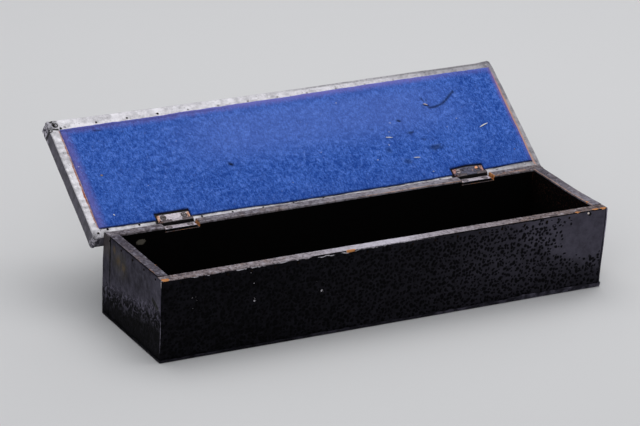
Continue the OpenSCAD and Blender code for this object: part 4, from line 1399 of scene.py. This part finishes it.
def feltCloth(book):
    shut = book.markVector("shut")
    x, y, z = book.axes(shut)
    fibre = book.noise(shut, 0.00085, detail=4, rough=0.75, bend=1.4)
    hatch = book.noise(book.vector("MULTIPLY", shut, (1, 0.4, 1)), 0.0013, detail=3, rough=0.7)
    tuft = book.noise(shut, 0.0034, detail=4, rough=0.65, bend=0.8)
    patch = book.noise(shut, 0.028, detail=4, rough=0.6)
    tone = (fibre * 0.36 + hatch * 0.28 + tuft * 0.26 + patch * 0.1).rise(0.43, 0.585)
    color = book.mix(tone, (0.013, 0.066, 0.37), (0.092, 0.225, 0.78))
    color = book.mix((fibre + tuft).rise(1.1, 1.28) * 0.7, color, (0.17, 0.3, 0.84))
    pale = y.rise(-0.048, -0.03) * (1 - y.rise(-0.015, 0.015)) * (1 - abs(x - 0.02).rise(0.06, 0.15))
    color = book.mix(pale * 0.35, color, (0.17, 0.27, 0.78))
    uneven = (tuft - 0.5) * 0.005 + (fibre - 0.5) * 0.003
    fromFree = book.mark("fromFree") + uneven
    lilac = (1 - fromFree.rise(0.0, 0.0066)) * x.rise(-0.12, -0.06) * (1 - x.rise(0.115, 0.14) * 0.6)
    color = book.mix(lilac * 0.85, color, book.mix(fibre, (0.14, 0.15, 0.5), (0.33, 0.29, 0.8)))
    plum = (1 - fromFree.rise(0.0012, 0.0075)) * (0.42 + 0.2 * patch) * (1 - x.rise(-0.1, -0.05) * 0.75)
    left = (1 - (book.mark("fromLeft") + uneven).rise(0.0008, 0.0085)) * 0.55
    right = 1 - (book.mark("fromRight") + uneven * 0.6).rise(0.0004, 0.0042)
    right = right * (0.75 - 0.4 * y.rise(-0.02, 0.03))
    rosy = plum.most(left).most(right).least(1)
    color = book.mix(rosy, color, book.mix(fibre, (0.14, 0.115, 0.38), (0.32, 0.22, 0.55)))
    # painted shade of a fold near the felt's free edge
    ridgeShade = (1 - abs(fromFree - 0.0022).rise(0.0003, 0.0013)) * (1 - x.rise(-0.06, -0.03)) * 0.4
    color = book.mix(ridgeShade, color, (0.02, 0.04, 0.22))
    shaded = (y + (patch - 0.5) * 0.012).rise(0.03, 0.044) * 0.2
    color = book.mix(shaded, color, (0.012, 0.05, 0.3))
    lint = book.cells(shut, 0.0085, feature="F1").rise(0.0, 0.09)
    color = book.mix((1 - lint) * 0.5, color, (0.3, 0.4, 0.8))
    # painted shade along the felt's hinge-side edge and round the cuts
    color = book.mix(book.mark("brim").rise(0.2, 0.9) * (0.35 + 0.6 * tuft), color, (0.02, 0.012, 0.06))
    color = book.mix((book.mark("stain") * (0.6 + 0.8 * fibre)).least(0.96), color, (0.004, 0.008, 0.03))
    height = fibre * 0.5 + tuft * 0.6
    return book.surface(color=color, roughness=0.95, specular=0.08, normal=book.bump(height, 0.0009))


feltFinish = material("feltCloth", feltCloth)
feltPiece = makeFelt()
print("felt made")

# nap: loose fibres that stand out of the felt

nap = {"count": 5200, "length": 1.7 * mm, "thick": 0.045 * mm, "seed": 8}


def makeFibre():  # a bent three-sided fibre along X
    points, faces = [], []
    rings = 4
    for r in range(rings):
        share = r / (rings - 1) - 0.5
        width = nap["thick"] * (1.1 - 1.2 * abs(share))
        lift = nap["length"] * (0.16 - 0.5 * share * share)
        for k in range(3):
            angle = 2 * math.pi * k / 3
            points.append((share * nap["length"],
                           math.cos(angle) * width + 0.25 * share * share * nap["length"],
                           math.sin(angle) * width + lift))
    faces = gridFaces(rings, 3, loop=True) + [(2, 1, 0), (rings * 3 - 3, rings * 3 - 2, rings * 3 - 1)]
    made = makeMesh("fibre", points, faces)
    return made


def scatterTree():  # instances on points, each turned to the point's own direction
    tree = bpy.data.node_groups.new("scatterOnPoints", "GeometryNodeTree")
    tree.is_modifier = True
    tree.interface.new_socket("Geometry", in_out="INPUT", socket_type="NodeSocketGeometry")
    tree.interface.new_socket("Shape", in_out="INPUT", socket_type="NodeSocketObject")
    tree.interface.new_socket("Spread", in_out="INPUT", socket_type="NodeSocketFloat")
    tree.interface.new_socket("Seed", in_out="INPUT", socket_type="NodeSocketInt")
    tree.interface.new_socket("Finish", in_out="INPUT", socket_type="NodeSocketMaterial")
    tree.interface.new_socket("Geometry", in_out="OUTPUT", socket_type="NodeSocketGeometry")
    book = NodeBook(tree)
    given = book.node("NodeGroupInput")
    seed = given.also("Seed")
    out = book.node("GeometryNodeInputNamedAttribute", {"data_type": "FLOAT_VECTOR"}, {"Name": "out"})
    stand = book.node("FunctionNodeAlignRotationToVector", {"axis": "Z"}, {"Vector": out})
    turn = book.node("FunctionNodeRandomValue", {"data_type": "FLOAT"},
                     {"Min": 0.0, "Max": 6.283, "Seed": seed})
    spin = book.node("FunctionNodeAxisAngleToRotation", None, {"Axis": (0, 0, 1), "Angle": turn})
    both = book.node("FunctionNodeRotateRotation", {"rotation_space": "LOCAL"},
                     {"Rotation": stand, "Rotate By": spin})
    least = 1 - given.also("Spread")
    most = 1 + given.also("Spread")
    size = book.node("FunctionNodeRandomValue", {"data_type": "FLOAT"},
                     {"Min": least, "Max": most, "Seed": seed + 7})
    shape = book.node("GeometryNodeObjectInfo", None, {"Object": given.also("Shape")}, "Geometry")
    points = book.node("GeometryNodeMeshToPoints", None, {"Mesh": given})
    placed = book.node("GeometryNodeInstanceOnPoints", None,
                       {"Points": points, "Instance": shape, "Rotation": both, "Scale": size})
    whole = book.node("GeometryNodeRealizeInstances", None, {"Geometry": placed})
    finished = book.node("GeometryNodeSetMaterial", None,
                         {"Geometry": whole, "Material": given.also("Finish")})
    book.node("NodeGroupOutput", None, {"Geometry": finished})
    return tree


scatter = scatterTree()


def scatterShape(name, shape, places, spread, seed, finish):  # places are (point, direction)
    holder = bpy.data.objects.new(name, bpy.data.meshes.new(name))
    holder.data.from_pydata([p for p, _ in places], [], [])
    attribute = holder.data.attributes.new("out", "FLOAT_VECTOR", "POINT")
    attribute.data.foreach_set("vector", [n for _, d in places for n in d])
    scene.collection.objects.link(holder)
    runNodes(holder, scatter, {"Shape": shape, "Spread": spread, "Seed": seed, "Finish": finish})
    holder.data.shade_smooth()
    return holder


def makeNap():
    draw = random.Random(nap["seed"])
    picks = []
    faces = feltPiece.data.polygons
    up = swing.to_3x3() @ Vector((0, 0, -1))
    facing = [f for f in faces if len(f.vertices) == 4 and f.normal.dot(up) > 0.8]
    for _ in range(nap["count"]):
        spot = draw.choice(facing)
        corners = [feltPiece.data.vertices[i].co for i in spot.vertices]
        a, b = draw.random(), draw.random()
        place = corners[0].lerp(corners[1], a).lerp(corners[3].lerp(corners[2], a), b)
        lean = Vector((draw.gauss(0, 0.25), draw.gauss(0, 0.25), draw.gauss(0, 0.25)))
        picks.append((place - up * 0.05 * mm, (up + lean).normalized()))
    shape = makeFibre()
    made = scatterShape("feltNap", shape, picks, 0.5, nap["seed"], napFinish)
    bpy.data.objects.remove(shape)
    return dress(made, "lid", "blue_felt", None)


def napHair(book):
    tone = book.noise(book.coords(), 0.006, detail=2)
    color = book.mix(tone.rise(0.35, 0.65), (0.025, 0.07, 0.34), (0.15, 0.24, 0.62))
    return book.surface(color=color, roughness=0.9, specular=0.15)


napFinish = material("napHair", napHair)
napPiece = makeNap()
print("nap made")

# tacks: domed heads in place of the plain ones

tackShape = {"head": 0.9 * mm, "dome": 0.42 * mm, "shank": 0.42 * mm, "length": 4.5 * mm}


def makeTackShape():
    plan = [(0.0, tackShape["dome"])]
    for k in range(1, 5):
        turn = math.radians(90 * k / 4)
        plan.append((tackShape["head"] * math.sin(turn), tackShape["dome"] * math.cos(turn)))
    plan += [(tackShape["head"] * 0.94, -0.06 * mm), (tackShape["shank"], -0.08 * mm),
             (tackShape["shank"] * 0.8, -0.6 * tackShape["length"]),
             (0.0, -tackShape["length"])]
    sidesCount = 12
    points = []
    for radius, z in plan:
        for k in range(sidesCount):
            angle = 2 * math.pi * k / sidesCount
            points.append((radius * math.cos(angle), radius * math.sin(angle), z))
    return makeMesh("tackShape", points, gridFaces(len(plan), sidesCount, loop=True))


def solidsOf(nodeName):  # the separate solids of a node, as lists of points
    work = bmesh.new()
    work.from_mesh(frame["nodes"][nodeName].data)
    bmesh.ops.remove_doubles(work, verts=work.verts, dist=1e-6)
    left = set(work.verts)
    found = []
    while left:
        seed = left.pop()
        group, edge = [seed], [seed]
        while edge:
            for link in edge.pop().link_edges:
                for v in link.verts:
                    if v in left:
                        left.remove(v)
                        group.append(v)
                        edge.append(v)
        found.append([v.co.copy() for v in group])
    work.free()
    return sorted(found, key=lambda g: (round(g[0].x, 3), round(g[0].y, 3), round(g[0].z, 3)))


def makeTacks(name, nodeName, out, body, seed, finish, odd=None, oddFinish=None):
    draw = random.Random(seed)
    places = {False: [], True: []}
    for group in solidsOf(nodeName):
        reach = max(p.dot(out) for p in group)
        middle = sum(group, Vector()) / len(group)
        base = middle + out * (reach - 0.35 * mm - middle.dot(out))
        tilt = Vector([draw.gauss(0, 0.09) for _ in range(3)])
        isOdd = bool(odd and odd(base))
        if isOdd and body == "case":
            base += Vector(brightTack["strays"])
        base = leaned(base) if body == "case" else base
        base.z -= frontDrop if out.y < -0.5 and body == "case" else 0
        places[isOdd].append((base, (out + tilt).normalized()))
    for isOdd, chosen in places.items():
        if chosen:
            made = scatterShape(name + ("Odd" if isOdd else ""), tackForm, chosen, 0.12, seed,
                                oddFinish if isOdd else finish)
            dress(made, body, "tack_steel", None, nodeName)


def isBrightFrontTack(base):  # the one at the right that has lost its lacquer
    return base.x > brightTack["from"]


def isDarkLidTack(base):  # the few on the lid that have gone dark
    flat = (swing.inverted() @ base) / mm
    nearCorner = abs(flat.x - lidMiddle.x / mm) > 172 and flat.x < 0
    freeSide = flat.y < -40 and -150 < flat.x < -88
    hingeSide = flat.y > 40 and flat.x < 0 and abs(flat.x + 121) > 16
    return nearCorner or freeSide or hingeSide


tackForm = makeTackShape()
makeTacks("frontTacks", "front_tacks", Vector((0, -1, 0)), "case", 1, tackSteel, isBrightFrontTack,
          brightTackSteel)
makeTacks("rearTacks", "rear_tacks", Vector((0, 1, 0)), "case", 2, tackSteel)
makeTacks("leftEndTacks", "left_end_tacks", Vector((-1, 0, 0)), "case", 3, tackSteel)
makeTacks("rightEndTacks", "right_end_tacks", Vector((1, 0, 0)), "case", 4, tackSteel)
makeTacks("lidTacks", "lid_tacks", swing.to_3x3() @ Vector((0, 0, -1)), "lid", 5, paleTackSteel,
          isDarkLidTack, tackSteel)
bpy.data.objects.remove(tackForm)
print("tacks made")

# hinges: the leaves with worn edges, bent a little by use

hingeWear = {"bevel": 0.16 * mm, "leftBow": 0.12 * mm, "rightBow": 0.9 * mm, "shorten": 0.6 * mm}


def bowed(point, box, bow):  # a point of a lid leaf or its screws, moved as the leaf is bent by use
    low, high = box
    up = swing.to_3x3() @ Vector((0, 0, -1))
    way = swing.to_3x3() @ Vector((0, -1, 0))
    reach = 8.2 * mm
    along = (point - pin).dot(way)
    side = 1 - ((point.x - (low.x + high.x) / 2) / (high.x - low.x) * 2) ** 2
    moved = (up * 0.75 + way * 0.65) * bow * smooth(along, 0.35 * reach, reach) * max(0, side)
    return moved - (way * hingeWear["shorten"] if along > 0.95 * reach else Vector())


def wornCopy(name, nodeName, bow, box):  # box is given for the lid's side only
    mesh = frame["nodes"][nodeName].data.copy()
    mesh.name = name
    work = bmesh.new()
    work.from_mesh(mesh)
    bmesh.ops.remove_doubles(work, verts=work.verts, dist=1e-6)
    bmesh.ops.dissolve_limit(work, angle_limit=math.radians(1), verts=work.verts, edges=work.edges)
    isLeaf = nodeName.endswith("leaf")
    out = swing.to_3x3() @ Vector((0, 0, -1)) if box else Vector((0, 0, 1))
    if box and isLeaf:
        for k in range(1, 12):
            cut = box[0].x + (box[1].x - box[0].x) * k / 12
            geometry = work.verts[:] + work.edges[:] + work.faces[:]
            bmesh.ops.bisect_plane(work, geom=geometry, dist=1e-7, plane_co=(cut, 0, 0), plane_no=(1, 0, 0))
    shut = swing.inverted() if box else Matrix.Identity(4)
    face = max(v.co.dot(out) for v in work.verts)
    marks = {"shut": [tuple(shut @ v.co) for v in work.verts],
             "sunk": [0 if isLeaf or face - v.co.dot(out) < 0.15 * mm else 1 for v in work.verts]}
    if box:
        for v in work.verts:
            v.co += bowed(v.co.copy(), box, bow)
    bmesh.ops.recalc_face_normals(work, faces=work.faces)
    work.to_mesh(mesh)
    work.free()
    addMarks(mesh, marks)
    made = bpy.data.objects.new(name, mesh)
    scene.collection.objects.link(made)
    if isLeaf:
        bevel = made.modifiers.new("wear", "BEVEL")
        bevel.width = hingeWear["bevel"]
        bevel.segments = 2
        bevel.limit_method = "ANGLE"
        bevel.angle_limit = math.radians(40)
        bevel.use_clamp_overlap = True
    return made


for side in ("left", "right"):
    for part in ("case", "lid"):
        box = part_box(side + "_lid_leaf") if part == "lid" else None
        steel = caseHingeSteel if part == "case" else rightHingeSteel if side == "right" else leftHingeSteel
        bow = hingeWear[side + "Bow"] if part == "lid" else 0
        for kind in ("leaf", "screws"):
            nodeName = side + "_" + part + "_" + kind
            piece = wornCopy(side + part.capitalize() + kind.capitalize(), nodeName, bow, box)
            dress(piece, part, "hinge_steel" if kind == "leaf" else "screw_steel", steel, nodeName)
    paint(side + "_pin", rightHingeSteel)
print("hinges made")

# straw and lint that lie on the felt

# straw and lint: shut x, y, length, thickness in mm, turn in degrees, tone
bits = [(150.9, 5.4, 8.6, 0.9, -18.5, "pale"), (70.6, 4.0, 5.7, 0.8, 11, "pale"),
        (85.3, 24.9, 5.5, 0.7, 6, "pale"), (76.7, -8.5, 1.6, 0.4, 15, "pale"),
        (72.6, -0.8, 1.2, 0.4, 30, "pale"), (67.8, 10.5, 1.5, 0.4, -70, "pale"),
        (53.6, 21.9, 1.2, 0.5, 10, "pale"), (93.1, 39.1, 1.3, 0.5, 40, "pale"),
        (41.4, -32.8, 1.2, 0.5, 0, "pale"), (-175.6, -10.2, 1.0, 0.5, 20, "pale"),
        (-164.3, 34.0, 1.6, 0.8, 60, "pale"), (-161.3, -0.2, 1.8, 1.1, 30, "amber"),
        (112.0, -20.3, 3.6, 0.9, 28, "rosy"), (131.5, -4, 0.9, 0.4, 50, "pale"),
        (166.5, 30.5, 1.0, 0.5, 0, "amber"), (-20.0, 30.0, 0.9, 0.3, 70, "pale"),
        (-95.0, -20.0, 0.8, 0.3, 20, "pale"), (12.0, 8.0, 0.9, 0.3, -30, "pale"),
        (121.0, 2.0, 0.8, 0.3, 0, "pale"), (-130.0, 14.0, 0.7, 0.3, 45, "pale")]


def makeBits(name, tone, finish):
    points, faces = [], []
    rings, around = 6, 6
    for x, y, length, thick, turn, kind in bits:
        if kind != tone:
            continue
        start = len(points)
        angle = math.radians(turn)
        way = Vector((math.cos(angle), math.sin(angle), 0))
        side = Vector((-way.y, way.x, 0))
        for r in range(rings):
            share = r / (rings - 1) * 2 - 1
            width = thick / 2 * (1 - 0.75 * abs(share) ** 3)
            curl = 0.02 if length > 4 else 0.08
            centre = Vector((x, y, 0)) + way * share * length / 2 + side * curl * length * share * share
            for k in range(around):
                a = 2 * math.pi * k / around
                p = centre + side * math.cos(a) * width + Vector((0, 0, math.sin(a) * width * 0.6))
                flat = Vector((p.x * mm, p.y * mm,
                               lidLow.z - felt["thick"] - 0.12 * mm - thick * 0.2 * mm + p.z * mm))
                points.append(swing @ flat)
        faces += gridFaces(rings, around, start, loop=True)
        faces += [tuple(range(start + around - 1, start - 1, -1)),
                  tuple(start + (rings - 1) * around + k for k in range(around))]
    made = makeMesh(name, points, faces)
    return dress(made, "lid", "blue_felt", finish)


def strawColor(light, dark):
    def build(book):
        tone = book.noise(book.coords(), 0.0012, detail=3)
        return book.surface(color=book.mix(tone, dark, light), roughness=0.55,
                            normal=book.bump(tone, 0.0001))
    return build


makeBits("paleStraws", "pale", material("paleStraw", strawColor((0.95, 0.94, 0.9), (0.8, 0.78, 0.72))))
makeBits("amberBits", "amber", material("amberBit", strawColor((0.6, 0.42, 0.2), (0.34, 0.2, 0.08))))
makeBits("rosyBit", "rosy", material("rosyBit", strawColor((0.95, 0.85, 0.8), (0.6, 0.4, 0.3))))
print("straw and lint made")

# camera, floor and light

photoView = {"place": (-1.1667, -2.0539, 1.0145), "turn": (68.0958, -2.4095, -27.9543), "lens": 200.91}
studio = {"floor": (0.74, 0.74, 0.75), "world": 0.42, "overhead": 11, "key": 7, "side": 3}


def makeCamera():
    data = bpy.data.cameras.new("photoCamera")
    data.lens = photoView["lens"]
    data.sensor_width = 36
    data.clip_start = 0.05
    data.clip_end = 50
    made = bpy.data.objects.new("photoCamera", data)
    made.location = photoView["place"]
    made.rotation_euler = [math.radians(a) for a in photoView["turn"]]
    scene.collection.objects.link(made)
    scene.camera = made


def makeLamp(name, place, aim, size, power, color=(1, 1, 1)):
    data = bpy.data.lights.new(name, "AREA")
    data.shape = "RECTANGLE"
    data.size, data.size_y = size
    data.energy = power
    data.color = color
    made = bpy.data.objects.new(name, data)
    made.location = place
    made.rotation_euler = (Vector(aim) - Vector(place)).to_track_quat("-Z", "Y").to_euler()
    scene.collection.objects.link(made)


def makeStudio():
    bpy.ops.mesh.primitive_plane_add(size=12)
    floor = bpy.context.object
    floor.name = "studioFloor"

    def paper(book):
        grain = book.noise(book.coords(), 0.4, detail=2)
        color = book.mix(grain, [c * 0.98 for c in studio["floor"]], studio["floor"])
        return book.surface(color=color, roughness=0.85, specular=0.1)

    floor.data.materials.append(material("studioPaper", paper))
    world = bpy.data.worlds.new("studioWorld")
    world.use_nodes = True
    world.node_tree.nodes.clear()
    book = NodeBook(world.node_tree)
    sky = book.node("ShaderNodeBackground", None, {"Color": (0.95, 0.97, 1.0), "Strength": studio["world"]})
    book.node("ShaderNodeOutputWorld", None, {"Surface": sky})
    scene.world = world
    makeLamp("overheadPanel", (0.25, 0.35, 1.5), (0, 0, 0.05), (1.6, 1.2), studio["overhead"],
             (1, 0.99, 0.98))
    makeLamp("keyPanel", (-1.2, -1.5, 1.3), (0, 0, 0.06), (1.0, 1.0), studio["key"])
    makeLamp("sidePanel", (1.6, 0.9, 0.9), (0, 0, 0.06), (0.9, 0.9), studio["side"], (0.96, 0.98, 1))


makeCamera()
makeStudio()
scene.view_settings.view_transform = "Standard"
print("studio made")
